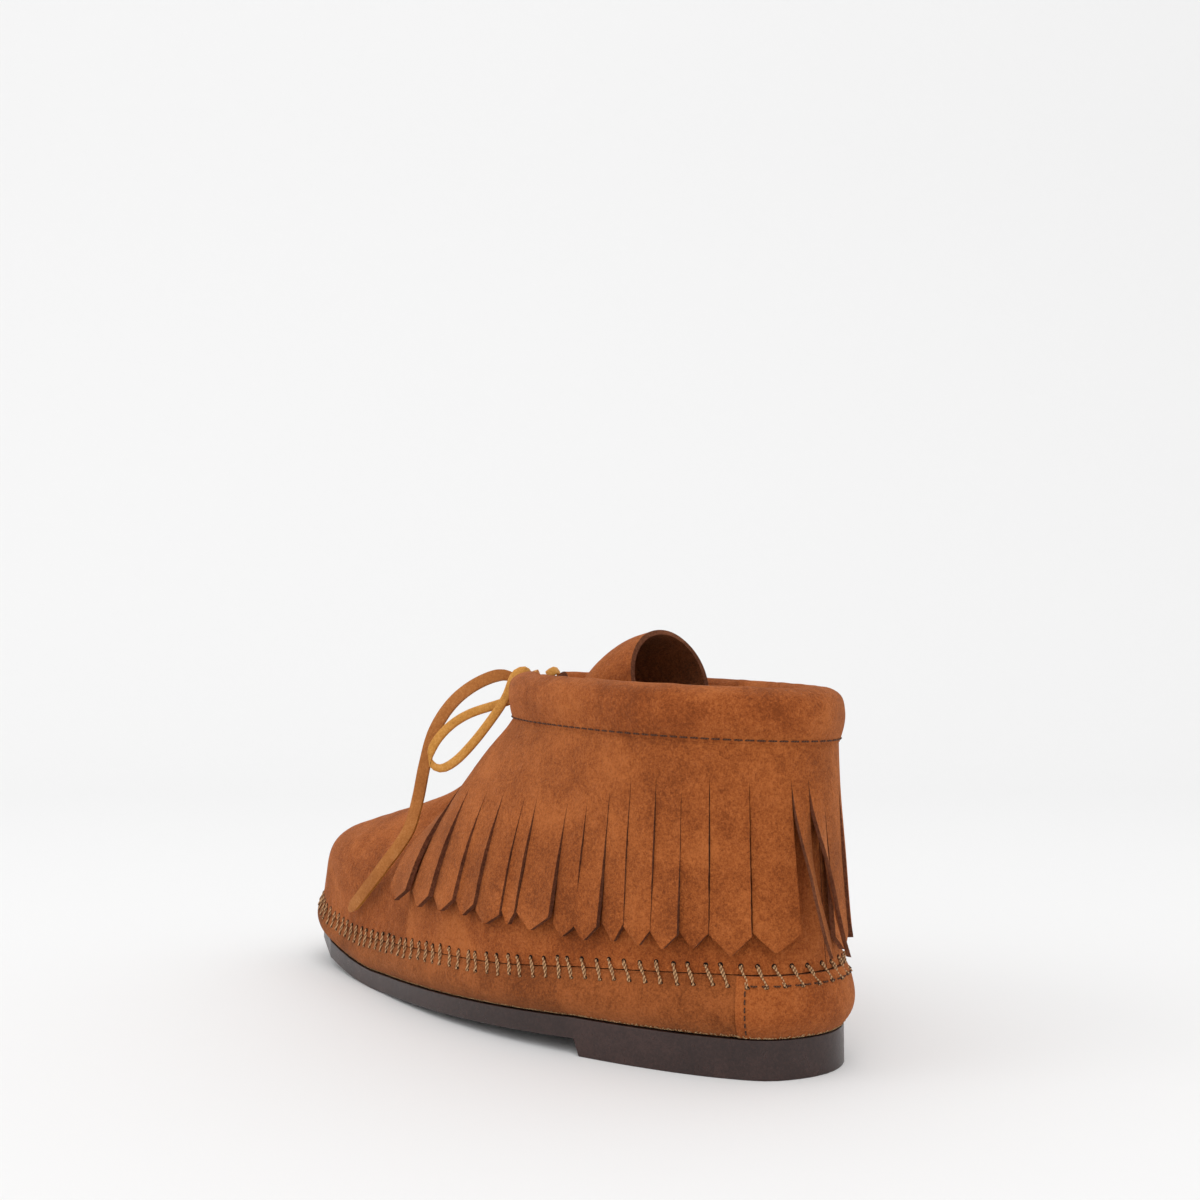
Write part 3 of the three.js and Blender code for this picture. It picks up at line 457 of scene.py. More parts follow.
def corded(name, dark, light, scale, roughness=0.75):
    """Twisted thread: slanting plies with fibres between them."""
    material = bpy.data.materials.new(name)
    material.use_nodes = True
    tree = material.node_tree
    shader = tree.nodes["Principled BSDF"]
    place = tree.nodes.new("ShaderNodeTexCoord")
    wave = tree.nodes.new("ShaderNodeTexWave")
    wave.wave_type = "BANDS"
    wave.bands_direction = "DIAGONAL"
    wave.inputs["Scale"].default_value = scale
    wave.inputs["Distortion"].default_value = 1.2
    wave.inputs["Detail"].default_value = 2
    ramp = tree.nodes.new("ShaderNodeValToRGB")
    ramp.color_ramp.elements[0].color = (*dark, 1)
    ramp.color_ramp.elements[1].color = (*light, 1)
    relief = tree.nodes.new("ShaderNodeBump")
    relief.inputs["Strength"].default_value = 0.7
    relief.inputs["Distance"].default_value = 0.0004
    join = tree.links.new
    join(place.outputs["Object"], wave.inputs["Vector"])
    join(wave.outputs["Fac"], ramp.inputs["Fac"])
    join(wave.outputs["Fac"], relief.inputs["Height"])
    join(ramp.outputs["Color"], shader.inputs["Base Color"])
    join(relief.outputs["Normal"], shader.inputs["Normal"])
    shader.inputs["Roughness"].default_value = roughness
    shader.inputs["Specular IOR Level"].default_value = 0.25
    return material


suede = leather("suede", (0.2, 0.045, 0.009), (0.325, 0.08, 0.0172), (0.45, 0.13, 0.032))
wrap_suede = leather("suede_wrap", (0.15, 0.036, 0.008), (0.255, 0.068, 0.0155), (0.38, 0.108, 0.028))
fringe_suede = leather("suede_fringe", (0.19, 0.044, 0.0095), (0.32, 0.082, 0.0178), (0.45, 0.13, 0.032))
raw_edge = leather("raw_edge", (0.08, 0.025, 0.012), (0.145, 0.048, 0.022), (0.23, 0.082, 0.038), bump=1.0,
                   sheen=0.05)
# A darker copy of the suede for the tongue's inner face: painted shade inside the shoe.
shaded_inside_suede = leather("suede_inside_painted_shade", (0.09, 0.024, 0.007), (0.17, 0.046, 0.013), (0.27, 0.08, 0.024),
                       bump=1.0)
lace_brown = leather("lace_brown", (0.28, 0.09, 0.022), (0.42, 0.155, 0.04), (0.58, 0.26, 0.09), bump=0.5,
                     spread=(0.42, 0.58, 0.74))
rawhide = leather("rawhide", (0.26, 0.1, 0.018), (0.56, 0.25, 0.048), (0.76, 0.41, 0.12), bump=0.35,
                  roughness=0.6, sheen=0.05, spread=(0.4, 0.58, 0.76))
lining = leather("lining", (0.2, 0.11, 0.05), (0.34, 0.2, 0.1), (0.45, 0.29, 0.16), bump=0.25, roughness=0.75)
board = leather("board", (0.22, 0.16, 0.09), (0.36, 0.27, 0.16), (0.46, 0.36, 0.24), bump=0.3, sheen=0)
rubber = leather("rubber", (0.018, 0.0072, 0.0058), (0.028, 0.0122, 0.0098), (0.046, 0.021, 0.017), bump=0.12,
                 roughness=0.36, sheen=0.0)
rubber.node_tree.nodes["Principled BSDF"].inputs["Specular IOR Level"].default_value = 0.45
thread = corded("thread", (0.2, 0.09, 0.038), (0.64, 0.38, 0.19), 420)
dark_thread = corded("dark_thread", (0.04, 0.015, 0.007), (0.13, 0.052, 0.026), 600)
# Near-black colour for the stitch holes: painted shade inside them.
painted_hole_shade = leather("painted_hole_shade", (0.006, 0.003, 0.002), (0.012, 0.006, 0.004), (0.02, 0.01, 0.006), bump=0.2, sheen=0)

# ---------------------------------------------------------------- the lace
REACH = REAR + FRONT
KNOT = np.array([REACH - BULGE + 5, 0, STITCH_Z + 9 + SLOPE * FRONT])
AIR = [(4.6, 2.4, 3.6), (8.5, 8, 6), (14.5, 14, 3.5), (22.5, 20, -3.5), (29.5, 24, -14.5), (33, 26, -27.5),
       (34.5, 28, -40.5)]
ON_PLUG = [(161.8, 0.45, 5), (161, 0.39, 3), (161.2, 0.33, 2.6), (162, 0.27, 2.5), (163, 0.22, 2.4),
           (164, 0.17, 2.4), (165.5, 0.1, 2.4)]


RIBBON_WIDTH, RIBBON_THICKNESS, RIBBON_CROWN = 4.4, 1.5, 0.25


def ribbon(name, line, side, node):
    """A flat thong along a line, its face turned away from the shoe, its edges lighter than its faces."""
    count = len(line)
    ahead = np.gradient(line, axis=0)
    ahead /= np.linalg.norm(ahead, axis=1)[:, None]
    away = np.array([-0.55, 0.8 * side, 0.25])
    across = np.cross(away, ahead)
    across /= np.linalg.norm(across, axis=1)[:, None]
    facing = np.cross(ahead, across)

    def place(depth):
        def at(s, t):
            k = np.clip(s * (count - 1), 0, count - 1)
            low = np.minimum(k.astype(int), count - 2)
            w = (k - low)[:, None]
            middle, side_way, out = (mix(a[low], a[low + 1], w) for a in (line, across, facing))
            half = RIBBON_WIDTH / 2 * np.interp(s, [0, 0.1, 0.97, 1], [0.6, 1, 1, 0.45])[:, None]
            crown = (1 - (2 * t - 1) ** 2) * RIBBON_CROWN
            return middle + side_way * half * (2 * t - 1) + out * (depth + crown * np.sign(depth))
        return at
    bm = hide_sheet(110, 6, place(RIBBON_THICKNESS / 2), place(-RIBBON_THICKNESS / 2))
    return finish_piece(name, bm, "shoe", [lace_brown, rawhide], (node,), 60)


for side, label in ((1, "lateral"), (-1, "medial")):
    loop = refined("lace_loop_" + label, "lace_loop_" + label + "_made", [rawhide])
    lying = upper_point(side * np.radians([p[0] for p in ON_PLUG]), np.array([p[1] for p in ON_PLUG]),
                        np.array([p[2] for p in ON_PLUG], float))
    free = [KNOT + np.array((x, y * side, z)) for x, y, z in AIR] + list(lying)
    end_line = metres(catmull(free, 70, False))
    end = ribbon("lace_end_" + label + "_made", end_line * 1000 - SHIFT, side, "lace_end_" + label)
refined("lace_in_collar", "lace_run", [rawhide])
refined("lace_knot", "knot_core", [rawhide])


def knot_band(name, shift_y, tilt, radius, width):
    """One turn of the thong round the knot."""
    bm = bmesh.new()
    bmesh.ops.create_circle(bm, cap_ends=False, radius=1, segments=12)
    for v in bm.verts:
        v.co = Vector((radius + v.co.x * 0.9, v.co.y * width, 0)) / 1000
    bmesh.ops.spin(bm, geom=bm.verts[:] + bm.edges[:], cent=(0, 0, 0), axis=(0, 1, 0), dvec=(0, 0, 0),
                   angle=math.radians(360), steps=32, use_merge=True)
    turn = Matrix.Rotation(math.radians(tilt), 4, "X") @ Matrix.Rotation(math.radians(tilt * 0.7), 4, "Z")
    bmesh.ops.transform(bm, matrix=turn, verts=bm.verts)
    at = metres([KNOT + np.array((0, shift_y, 0))])[0]
    bmesh.ops.translate(bm, vec=Vector(at), verts=bm.verts)
    return finish_piece(name, bm, "shoe", [rawhide], (), 80)


for band_name, band_shift, band_tilt, band_radius, band_width in (
        ("middle", 0.0, 8, 4.6, 2.2), ("outer", 3.9, -16, 4.0, 1.9), ("inner", -3.9, 20, 4.0, 1.9)):
    knot_band("knot_band_" + band_name, band_shift, band_tilt, band_radius, band_width)

# ---------------------------------------------------------------- sole and the layers under the foot
refined("outsole", "sole", [rubber], subdivide=0, smooth_angle=35, bevel=0.0007)
NODES["insole_board"].data.materials[0] = board
NODES["bottom_filler"].data.materials[0] = board
NODES["sock_liner"].data.materials[0] = lining

# ---------------------------------------------------------------- lower wrap, gathered by the whip stitches
STITCH_PITCH = 5.2
STITCHES = round(PERIMETER / STITCH_PITCH)
WALL = np.polyfit([0, 0.25, 0.5, 0.78, 1], [-1.4, 1.95, 2.6, 1.61, -0.2], 4)
SIDE_GATHER, TOE_GATHER = 0.28, 0.55


def gather(share):
    """How far the leather puffs out between stitches, most over the toe."""
    puff = 0.5 - 0.5 * np.cos(2 * math.pi * STITCHES * share)
    x, _ = outline_at(share, 0)
    return puff * mix(SIDE_GATHER, TOE_GATHER, smooth(x, LENGTH * 0.55, LENGTH * 0.9))


def wrap_wall(share, t, inward, raised=0.0):
    """The side of the lower wrap, from the sole at t 0 to the seam at t 1."""
    share = np.asarray(share, float)
    out = np.polyval(WALL, t) - inward + raised
    out = out + gather(share) * float(smooth(t, 0.62, 0.95)) * (1 if inward == 0 else 0)
    x, y = outline_at(share, out)
    low = sole_top(x) + GAP + inward * 0.6
    high = seam_height(outline_at(share, -INSET)[0]) - SEAM_GAP / 2
    return np.stack([x, y, mix(low, high, t)], -1)


PATCH_HALF_WIDTH, PATCH_RAISED = 29, 0.75
PATCH = PATCH_HALF_WIDTH / PERIMETER
bm = hide_sheet(620, 16, lambda s, t: wrap_wall(mix(PATCH, 1 - PATCH, s), t, 0),
                  lambda s, t: wrap_wall(mix(PATCH, 1 - PATCH, s), t, SUEDE))
finish_piece("lower_wrap_made", bm, "shoe", [wrap_suede, raw_edge], ("lower_wrap",))
bm = hide_sheet(60, 16, lambda s, t: wrap_wall(mix(-PATCH, PATCH, s), t, 0, PATCH_RAISED),
                   lambda s, t: wrap_wall(mix(-PATCH, PATCH, s), t, SUEDE))
finish_piece("heel_patch_made", bm, "shoe", [suede, raw_edge], ("heel_patch",))


# Pale fibres along the cut edge of the leather, where it meets the sole: partly real fraying, partly a painted
# highlight along the top edge of the sole.
FIBRES, FIBRE_RADIUS = 900, 0.14
runs = []
for i in range(FIBRES):
    share = (i + rng.random()) / FIBRES
    raised = PATCH_RAISED if share < PATCH or share > 1 - PATCH else 0.0
    low = wrap_wall(np.array([share]), 0.005, 0, raised)[0]
    high = wrap_wall(np.array([share + rng.uniform(-0.9, 0.9) / PERIMETER]), rng.uniform(0.015, 0.05), 0,
                     raised + rng.uniform(0.05, 0.35))[0]
    runs.append(np.array([low, mix(low, high, 0.5), high]))
# Pale fibre colour: real fraying plus a painted highlight on the sole's top edge.
fray_and_painted_highlight = corded("fray_and_painted_highlight", (0.4, 0.2, 0.08), (0.72, 0.48, 0.26), 700, 0.95)
stitches("edge_fibres_and_highlight", runs, FIBRE_RADIUS, fray_and_painted_highlight)


# ---------------------------------------------------------------- quarters and plug
FRONT_SEAM = math.radians(154.5)


def quarter_front(rise):
    return mix(FRONT_SEAM, math.pi - OPEN, float(smooth(rise, 0.12, 1)))


def seam_puff(angle, rise):
    return gather(share_at(angle) - 0.45 / STITCHES) * np.exp(-np.asarray(rise) / 0.05)


def creases(angle, rise, strength=1.0):
    """Soft folds of worn leather, fading out toward the seams."""
    points = upper_face(angle, np.full(np.shape(angle), rise))
    stretched = points * np.array([1.6, 1.0, 0.5])
    soft = wave_noise(points, 0.028, 3.0) * 0.9 + wave_noise(stretched, 0.07, 9.0) * 0.45
    fade = float(smooth(rise, 0.02, 0.16) * (1 - smooth(rise, 0.85, 1.0)))
    return soft * strength * fade


for side, label in ((1, "lateral"), (-1, "medial")):
    def quarter(s, t, inward):
        rise = t * 1.03
        front = arc_at_angle(quarter_front(rise), rise)
        angle = side * angle_at_arc(mix(0.15, front, s), rise)
        out = -inward + (seam_puff(angle, rise) + creases(angle, rise, 0.5) if inward == 0 else 0)
        return upper_point(angle, np.full(angle.shape, rise), out + np.zeros(angle.shape))
    bm = hide_sheet(260, 34, lambda s, t: quarter(s, t, 0), lambda s, t: quarter(s, t, SUEDE))
    finish_piece("quarter_" + label + "_made", bm, "shoe", [suede, raw_edge], ("quarter_" + label,))

SEAM_EDGE = FRONT_SEAM + GAP / REAR
SEAM_SHARE = float(share_at(SEAM_EDGE))
MEDIAL_SEAM_SHARE = float(share_at(-SEAM_EDGE))


def plug_rise(t):
    return np.interp(t, [0, 0.16, 0.5, 1], [0, 0.09, 0.36, 0.86])


def plug_depth(angle, rise):
    """How far the sides of the plug are tucked in under the quarters."""
    past = math.pi - np.abs(math.pi - angle) - quarter_front(rise)
    covered = 1 - smooth(past, math.radians(6), math.radians(14))
    return -(SUEDE + GAP * 3) * covered * float(smooth(rise, 0, 0.12))


def plug(s, t, inward):
    rise = float(plug_rise(t))
    along = angle_at(mix(SEAM_SHARE, MEDIAL_SEAM_SHARE, s))
    edge = mix(SEAM_EDGE, math.radians(146), float(smooth(rise, 0.12, 0.24)))
    angle = along + (edge - SEAM_EDGE) * (1 - 2 * s)
    out = plug_depth(angle, rise) - inward
    if inward == 0:
        out = out + seam_puff(angle, rise) + creases(angle, rise, 1.0)
    return upper_point(angle, np.full(angle.shape, rise), out)


bm = hide_sheet(300, 60, lambda s, t: plug(s, t, 0), lambda s, t: plug(s, t, SUEDE))
finish_piece("vamp_plug_made", bm, "shoe", [suede, raw_edge], ("vamp_plug",))

# ---------------------------------------------------------------- fringe
COLUMNS = 6
strips = []
edge = 0.0
for number, width in enumerate(LATERAL):
    label = "fringe_rear_%d" % (number + 1) if number < 2 else "fringe_lateral_%d" % (number - 1)
    strips.append([label, edge, edge + width])
    edge += width
edge = 0.0
for number in range(MEDIAL_COUNT):
    strips.append(["fringe_medial_%d" % (number + 1), edge - MEDIAL_WIDTH, edge])
    edge -= MEDIAL_WIDTH
strips.sort(key=lambda strip: strip[1])
arcs = []
for label, start, stop in strips:
    arcs += [mix(start, stop, k / COLUMNS) for k in range(COLUMNS)]
arcs.append(strips[-1][2])
arcs = np.array(arcs)


def fringe_points(arc_list, heights, outs):
    spots = np.array([fringe_spot(a, z) for a, z in zip(arc_list, heights)])
    return upper_point(spots[:, 0], spots[:, 1], np.asarray(outs, float))


def band_place(out):
    """The uncut band of the fringe, between the tops of the slits and the collar seam."""
    def place(s, t):
        arc = np.interp(s, np.linspace(0, 1, len(arcs)), arcs)
        return fringe_points(arc, mix(slit_height(arc), STITCH_Z + 0.6, t), np.full(arc.shape, out))
    return place


bm = hide_sheet(len(arcs) - 1, 6, band_place(FRINGE_OUT), band_place(FRINGE_OUT - SUEDE))
band = finish_piece("fringe_band_made", bm, "shoe", [fringe_suede, raw_edge], ("fringe_band",))

# Flare outward at the tip, shift forward, and turn in degrees of the strips that don't hang plainly.
HANG = {
    "fringe_rear_1": (12, 1, 58), "fringe_rear_2": (10, -1, 52), "fringe_lateral_15": (2.6, 3.6, -7),
    "fringe_lateral_14": (2.2, 2.6, -7), "fringe_lateral_13": (1.8, 2, -6), "fringe_lateral_12": (1.4, 1, -6),
    "fringe_lateral_11": (1.1, 0.6, -5)}
TIP_ROWS, BODY_ROWS = 8, 20
joints = {joint["child"]: joint for joint in frame["joints"]}
for label, start, stop in strips:
    side = 1 if stop > 0 else -1
    plain_hang = (rng.uniform(0.5, 1.3), rng.uniform(-0.2, 0.2), rng.uniform(-7, -2))
    flare, forward, turn = HANG.get(label, plain_hang)
    turn = math.radians(turn) * side
    cup = rng.uniform(-0.5, 0.6)
    wave = rng.uniform(-0.6, 0.6)
    middle, half = (start + stop) / 2, (stop - start) / 2
    tip_z = TIP_Z + rng.uniform(-0.8, 0.8)
    point_length = rng.uniform(4.2, 6.0)
    gaps = (rng.uniform(0.1, 0.26), rng.uniform(0.1, 0.26))
    lean = rng.uniform(-0.8, 0.8)
    spread = 0.12 if label in HANG and side > 0 and abs(turn) < 0.2 else 0.02

    def strip_place(inward):
        def place(s, t):
            k = 2 * s - 1
            body = 1 - point_length / (SLIT_Z - TIP_Z)
            row = (1 - t) * (BODY_ROWS + TIP_ROWS)
            down = body * row / BODY_ROWS if row <= BODY_ROWS else mix(body, 1, (row - BODY_ROWS) / TIP_ROWS)
            opening = float(smooth(down, 0, 0.12)) * mix(0.5, 1.0, down)
            left, right = -(half - gaps[0] * opening), half - gaps[1] * opening
            if down > body:
                into = (down - body) / (1 - body)
                middle_tip = lean
                left = mix(left, middle_tip - 0.35, into)
                right = mix(right, middle_tip + 0.35, into)
            across = mix(left, right, s) * (1 + spread * down ** 1.6)
            ragged = np.array([noise.noise(Vector((down * 60, middle, v))) for v in s])
            rough = 0.13 * ragged * opening * np.abs(k)
            swing = turn * float(smooth(down, 0, 0.6))
            arc = middle + across * math.cos(swing) + rough + side * forward * down ** 1.6
            top = slit_height(middle + k * half)
            bow = (flare * down ** 1.5 + across * math.sin(swing) + cup * down * (k * k - 0.4)
                   + wave * math.sin(down * 5.5) * down)
            if abs(swing) < 0.4:
                bow = np.maximum(bow, -0.3)
            return fringe_points(arc, mix(top, tip_z, down), FRINGE_OUT - inward + bow)
        return place
    bm = hide_sheet(COLUMNS, BODY_ROWS + TIP_ROWS, strip_place(0), strip_place(SUEDE))
    strip = finish_piece(label + "_made", bm, None, [fringe_suede, raw_edge], (label,), 40)
    joint = joints[label]
    at = Vector(joint["pos_m"])
    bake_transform(strip)

# ---------------------------------------------------------------- collar
LIP = FRINGE_OUT + GAP
FOLD = [(LIP, 0), (LIP + 1.6, 0.3), (LIP + 1.9, 0.55), (LIP + 0.6, 0.85), (-2, 1), (-5.8, 0.86), (-7.3, 0.55),
        (-6, 0.25), (-GAP * 3 - SUEDE * 2, 0)]
FOLD_LINE = catmull([(a, b * COLLAR_HEIGHT) for a, b in FOLD], 400, False)
FOLD_STEP = np.gradient(FOLD_LINE, axis=0)
FOLD_STEP /= np.linalg.norm(FOLD_STEP, axis=1)[:, None]
COLLAR_END = math.pi - OPEN


def collar_place(inward):
    """The leather of the collar, folded over the lace and back into the shoe."""
    def place(s, t):
        around = 2 * s - 1
        angle = np.sign(around) * angle_at_arc(np.abs(around) * arc_at_angle(COLLAR_END, 1), 1)
        row = t * (len(FOLD_LINE) - 1)
        low = min(int(row), len(FOLD_LINE) - 2)
        out, up = mix(FOLD_LINE[low], FOLD_LINE[low + 1], row - low)
        along = FOLD_STEP[low]
        out, up = out - along[1] * inward, up + along[0] * inward
        x, y = collar_ring(angle, out - BULGE)
        seam_x, _ = collar_ring(angle, -BULGE)
        z = STITCH_Z + up + SLOPE * (seam_x - REAR)
        points = np.stack([x, y, z], -1)
        if inward == 0:
            flattened = points * np.array([1, 1, 0.35])
            bulge = wave_noise(points, 0.05, 5.0) * 0.9 + wave_noise(flattened, 0.16, 1.0) * 0.45
            tug = -0.25 * (0.5 + 0.5 * np.cos(angle * 110)) * math.exp(-up / 1.6)
            amount = bulge * float(smooth(t, 0.02, 0.15)) + tug
            direction = np.stack([x - collar_ring(angle, -9)[0], y - collar_ring(angle, -9)[1]], -1)
            direction /= np.maximum(np.linalg.norm(direction, axis=1), 1e-6)[:, None]
            lift = math.sin(math.pi * t)
            points[:, :2] += direction * (amount * (1 - 0.6 * lift))[:, None]
            points[:, 2] += np.abs(amount) * lift * 0.7
        return points
    return place


bm = hide_sheet(420, 40, collar_place(0), collar_place(SUEDE))
finish_piece("collar_roll_made", bm, "shoe", [suede, raw_edge], ("collar_roll",))

# ---------------------------------------------------------------- tongue
TONGUE_STATIONS = [
    [-4, 0, -8.5, 0.2, 11.5, 2.5], [-15, 0, -10, 0.1, 13, 6], [-27, -1, -9, 0.4, 15.5, 11.5],
    [-36, -3, -1, 0.65, 17.5, 16], [-46, -5, 8, 0.5, 18, 18.5], [-56, -6.5, 13.5, 0.35, 18, 19],
    [-64, -7, 16, 0.25, 18, 18.5]]
TONGUE_LINE = catmull(TONGUE_STATIONS, 200, False)
TONGUE_OVERTURN, TONGUE_ROOT_ANGLE = math.radians(8), math.radians(8)
TONGUE_ROOT_SHARE, PLUG_TOP = 0.1, 0.86


def tongue_place(inward):
    """The tongue runs back from the top of the plug and arches up inside the collar."""
    def place(s, t):
        row = float(np.clip((t - TONGUE_ROOT_SHARE) / (1 - TONGUE_ROOT_SHARE), 0, 1))
        row *= len(TONGUE_LINE) - 1
        low = min(int(row), len(TONGUE_LINE) - 2)
        x, y, z, tilt, half, height = mix(TONGUE_LINE[low], TONGUE_LINE[low + 1], row - low)
        turn = mix(-TONGUE_OVERTURN, math.pi + TONGUE_OVERTURN, s)
        rise = (height - inward) * np.sin(turn)
        points = np.stack([REACH + x + math.sin(tilt) * rise, y + (half - inward) * np.cos(turn),
                           STITCH_Z + z + math.cos(tilt) * rise], -1)
        root_angle = math.pi + TONGUE_ROOT_ANGLE * (2 * s - 1)
        root = upper_point(root_angle, np.full(root_angle.shape, PLUG_TOP + 0.005),
                           plug_depth(root_angle, PLUG_TOP) - inward)
        points = mix(root, points, min(1, t / TONGUE_ROOT_SHARE))
        if inward == 0:
            points[:, 2] += wave_noise(points, 0.06, 7.0) * 0.5 * float(smooth(t, 0.2, 0.5))
        return points
    return place


# The tongue's inner face takes the darker suede copy, painted shade.
bm = hide_sheet(36, 60, tongue_place(0), tongue_place(SUEDE), inside=2)
finish_piece("tongue_made", bm, "tongue", [suede, raw_edge, shaded_inside_suede], ("tongue",))

# ---------------------------------------------------------------- stitching
STITCH_BELOW, STITCH_ABOVE, STITCH_SLANT, STITCH_DEPTH = 3.1, 2.3, 0.5, 1.6
PLY_RADIUS, PLY_OFFSET, TOE_PLY_OFFSET, PLY_TURNS = 0.28, 0.3, 0.24, 1.3
runs = []
hole_places = []
for i in range(STITCHES):
    share = i / STITCHES + rng.uniform(-0.09, 0.09) / STITCHES
    x0, _ = outline_at(share, -INSET)
    wall = float(seam_height(x0) - sole_top(x0))
    below = STITCH_BELOW + rng.uniform(-0.3, 0.3)
    above = STITCH_ABOVE + rng.uniform(-0.3, 0.3)
    slant = STITCH_SLANT + rng.uniform(-0.1, 0.1)
    raised = PATCH_RAISED if share < PATCH or share > 1 - PATCH else 0.0
    low = wrap_wall(np.array([share]), 1 - below / wall, 0, raised)[0]
    low_in = wrap_wall(np.array([share]), 1 - below / wall, STITCH_DEPTH)[0]
    low_mid = wrap_wall(np.array([share + 0.2 * slant / STITCHES]), 1 - 0.45 * below / wall, -0.45)[0]
    angle = np.array([float(angle_at(share + slant / STITCHES))])
    ends = upper_face(np.array([angle[0]] * 2), np.array([0.0, 1.0]))
    rise = np.array([(float(seam_height(x0)) + above - ends[0][2]) / (ends[1][2] - ends[0][2])])
    high = upper_point(angle, rise, np.array([0.05]))[0]
    high_in = upper_point(angle, rise, np.array([-STITCH_DEPTH]))[0]
    angle_mid = np.array([float(angle_at(share + 0.72 * slant / STITCHES))])
    high_mid = upper_point(angle_mid, rise * 0.45, np.array([0.7]))[0]
    over = [low_in, low + (low - low_in) * 0.1, low_mid, high_mid, high + (high - high_in) * 0.12, high_in]
    line = catmull(over, 15, False)
    along = line[-1] - line[0]
    outward = low - low_in
    sideways = np.cross(along, outward)
    sideways /= np.linalg.norm(sideways)
    outward = np.cross(sideways, along)
    outward /= np.linalg.norm(outward)
    start = rng.uniform(0, math.pi)
    ply_offset = mix(PLY_OFFSET, TOE_PLY_OFFSET, float(smooth(x0, LENGTH * 0.5, LENGTH * 0.9)))
    for ply in (0, math.pi):
        turns = start + ply + np.linspace(0, 2 * PLY_TURNS * math.pi, len(line))
        twist = np.cos(turns)[:, None] * sideways + np.sin(turns)[:, None] * outward
        runs.append(line + ply_offset * twist)
    hole_places += [(low, low - low_in), (high, high - high_in)]
stitches("whip_stitches", runs, PLY_RADIUS, thread, hides=("whip_thread",))

# Flattened near-black discs where the thread goes into the leather: painted shade inside the stitch holes.
HOLE_RADIUS = 0.0007
bm = bmesh.new()
for at, direction in hole_places:
    made = bmesh.ops.create_icosphere(bm, subdivisions=1, radius=HOLE_RADIUS)
    facing = Vector(direction).normalized()
    turn = facing.to_track_quat("Z", "Y").to_matrix().to_4x4()
    flat = Matrix.Translation(Vector(metres([at])[0])) @ turn @ Matrix.Diagonal((1.25, 1.25, 0.28, 1))
    bmesh.ops.transform(bm, matrix=flat, verts=made["verts"])
finish_piece("stitch_hole_shade", bm, "shoe", [painted_hole_shade], ())

COLLAR_STITCH_PITCH, COLLAR_STITCH_UP, COLLAR_THREAD_RADIUS = 3.1, 1.0, 0.25
runs = []
last = arc_at_angle(COLLAR_END - math.radians(2), 1)
count = int(2 * last / COLLAR_STITCH_PITCH)
for i in range(count):
    line = []
    for k, out in ((0.04, -0.2), (0.14, 0.28), (0.43, 0.36), (0.72, 0.28), (0.82, -0.2)):
        arc = mix(-last, last, (i + k) / count)
        angle = float(angle_at_arc(arc, 1))
        x, y = collar_ring(angle, LIP + out - BULGE + 0.15)
        seam_x, _ = collar_ring(angle, -BULGE)
        line.append((float(x), float(y), STITCH_Z + COLLAR_STITCH_UP + SLOPE * (float(seam_x) - REAR)))
    runs.append(line)
stitches("collar_stitches", runs, COLLAR_THREAD_RADIUS, dark_thread, hides=("collar_thread",))

PATCH_INSET, PATCH_SIDE_STITCHES, PATCH_STITCH_PITCH, PATCH_TOP = 2.6, 6, 3.0, 0.86
PATCH_ACROSS, PATCH_THREAD_RADIUS = 26, 0.24


def patch_stitch(start, stop):
    """One stitch on the heel patch between two places, each a share round the sole and a height."""
    line = []
    for k, out in ((0, -0.4), (0.15, 0.2), (0.5, 0.3), (0.85, 0.2), (1, -0.4)):
        share, t = mix(start[0], stop[0], k), mix(start[1], stop[1], k)
        line.append(wrap_wall(np.array([share]), t, 0, 0.8 + out)[0])
    return line


runs = []
for side in (1, -1):
    at = side * (PATCH - PATCH_INSET / PERIMETER)
    for i in range(PATCH_SIDE_STITCHES):
        runs.append(patch_stitch((at, 0.08 + 0.125 * i), (at, 0.155 + 0.125 * i)))
across = int(2 * PATCH_ACROSS / PATCH_STITCH_PITCH)
for i in range(across):
    start = mix(-PATCH, PATCH, (i + 1.1) / (across + 2))
    stop = mix(-PATCH, PATCH, (i + 1.7) / (across + 2))
    runs.append(patch_stitch((start, PATCH_TOP), (stop, PATCH_TOP)))
stitches("patch_stitches", runs, PATCH_THREAD_RADIUS, dark_thread)

# ---------------------------------------------------------------- studio
scene.view_settings.view_transform = "Standard"


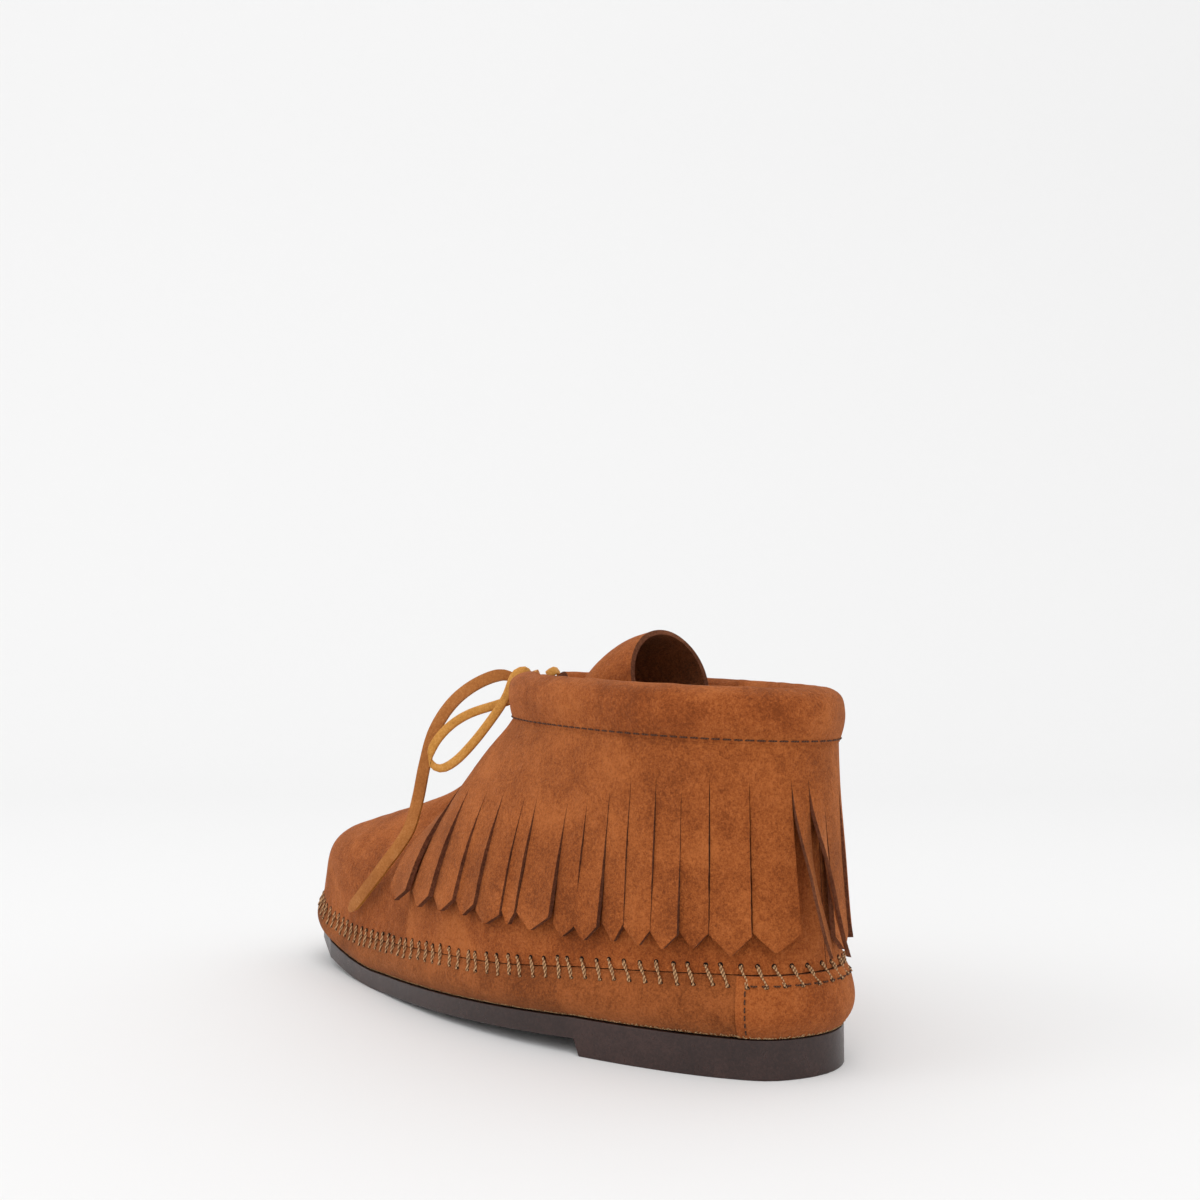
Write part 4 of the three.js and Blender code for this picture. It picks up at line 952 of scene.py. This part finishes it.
def plain(name, color, roughness=0.9):
    material = bpy.data.materials.new(name)
    material.use_nodes = True
    shader = material.node_tree.nodes["Principled BSDF"]
    shader.inputs["Base Color"].default_value = (*color, 1)
    shader.inputs["Roughness"].default_value = roughness
    shader.inputs["Specular IOR Level"].default_value = 0.1
    return material


# The floor runs flat behind the shoe, then sweeps up into the backdrop.
FLOOR_LENGTH, FLOOR_START, FLOOR_FLAT, SWEEP_RADIUS, FLOOR_HALF_WIDTH = 5.2, 2.2, 0.9, 1.1, 4
bm = bmesh.new()
bmesh.ops.create_grid(bm, x_segments=2, y_segments=60, size=1)
away = Vector((0.7499, -0.6615, 0))
beside = Vector((0.6615, 0.7499, 0))
for v in bm.verts:
    run = (v.co.y + 1) / 2 * FLOOR_LENGTH - FLOOR_START
    bend = min(max(run - FLOOR_FLAT, 0) / SWEEP_RADIUS, math.pi / 2)
    distance = min(run, FLOOR_FLAT) + math.sin(bend) * SWEEP_RADIUS
    rise = max(0, run - FLOOR_FLAT - SWEEP_RADIUS * math.pi / 2)
    height = (1 - math.cos(bend)) * SWEEP_RADIUS + rise
    v.co = away * distance + beside * v.co.x * FLOOR_HALF_WIDTH + Vector((0, 0, height))
floor = finish_piece("floor", bm, None, [plain("floor", (0.86, 0.86, 0.86))], (), 80)
world = bpy.data.worlds.new("studio")
scene.world = world
world.use_nodes = True
background = world.node_tree.nodes["Background"]
background.inputs["Color"].default_value = (0.91, 0.91, 0.91, 1)
background.inputs["Strength"].default_value = 1.0


def softbox(name, at, aim, size, power):
    light = bpy.data.lights.new(name, "AREA")
    light.shape = "RECTANGLE"
    light.size, light.size_y = size
    light.energy = power
    obj = bpy.data.objects.new(name, light)
    scene.collection.objects.link(obj)
    obj.location = at
    obj.rotation_mode = "QUATERNION"
    obj.rotation_quaternion = (Vector(aim) - Vector(at)).to_track_quat("-Z", "Y")
    return obj


softbox("key", (-1.6, 1.2, 2.8), (0, 0, 0.05), (2.2, 2.2), 26)
softbox("side", (1.0, 2.4, 1.6), (0, 0, 0.05), (1.6, 1.6), 10)
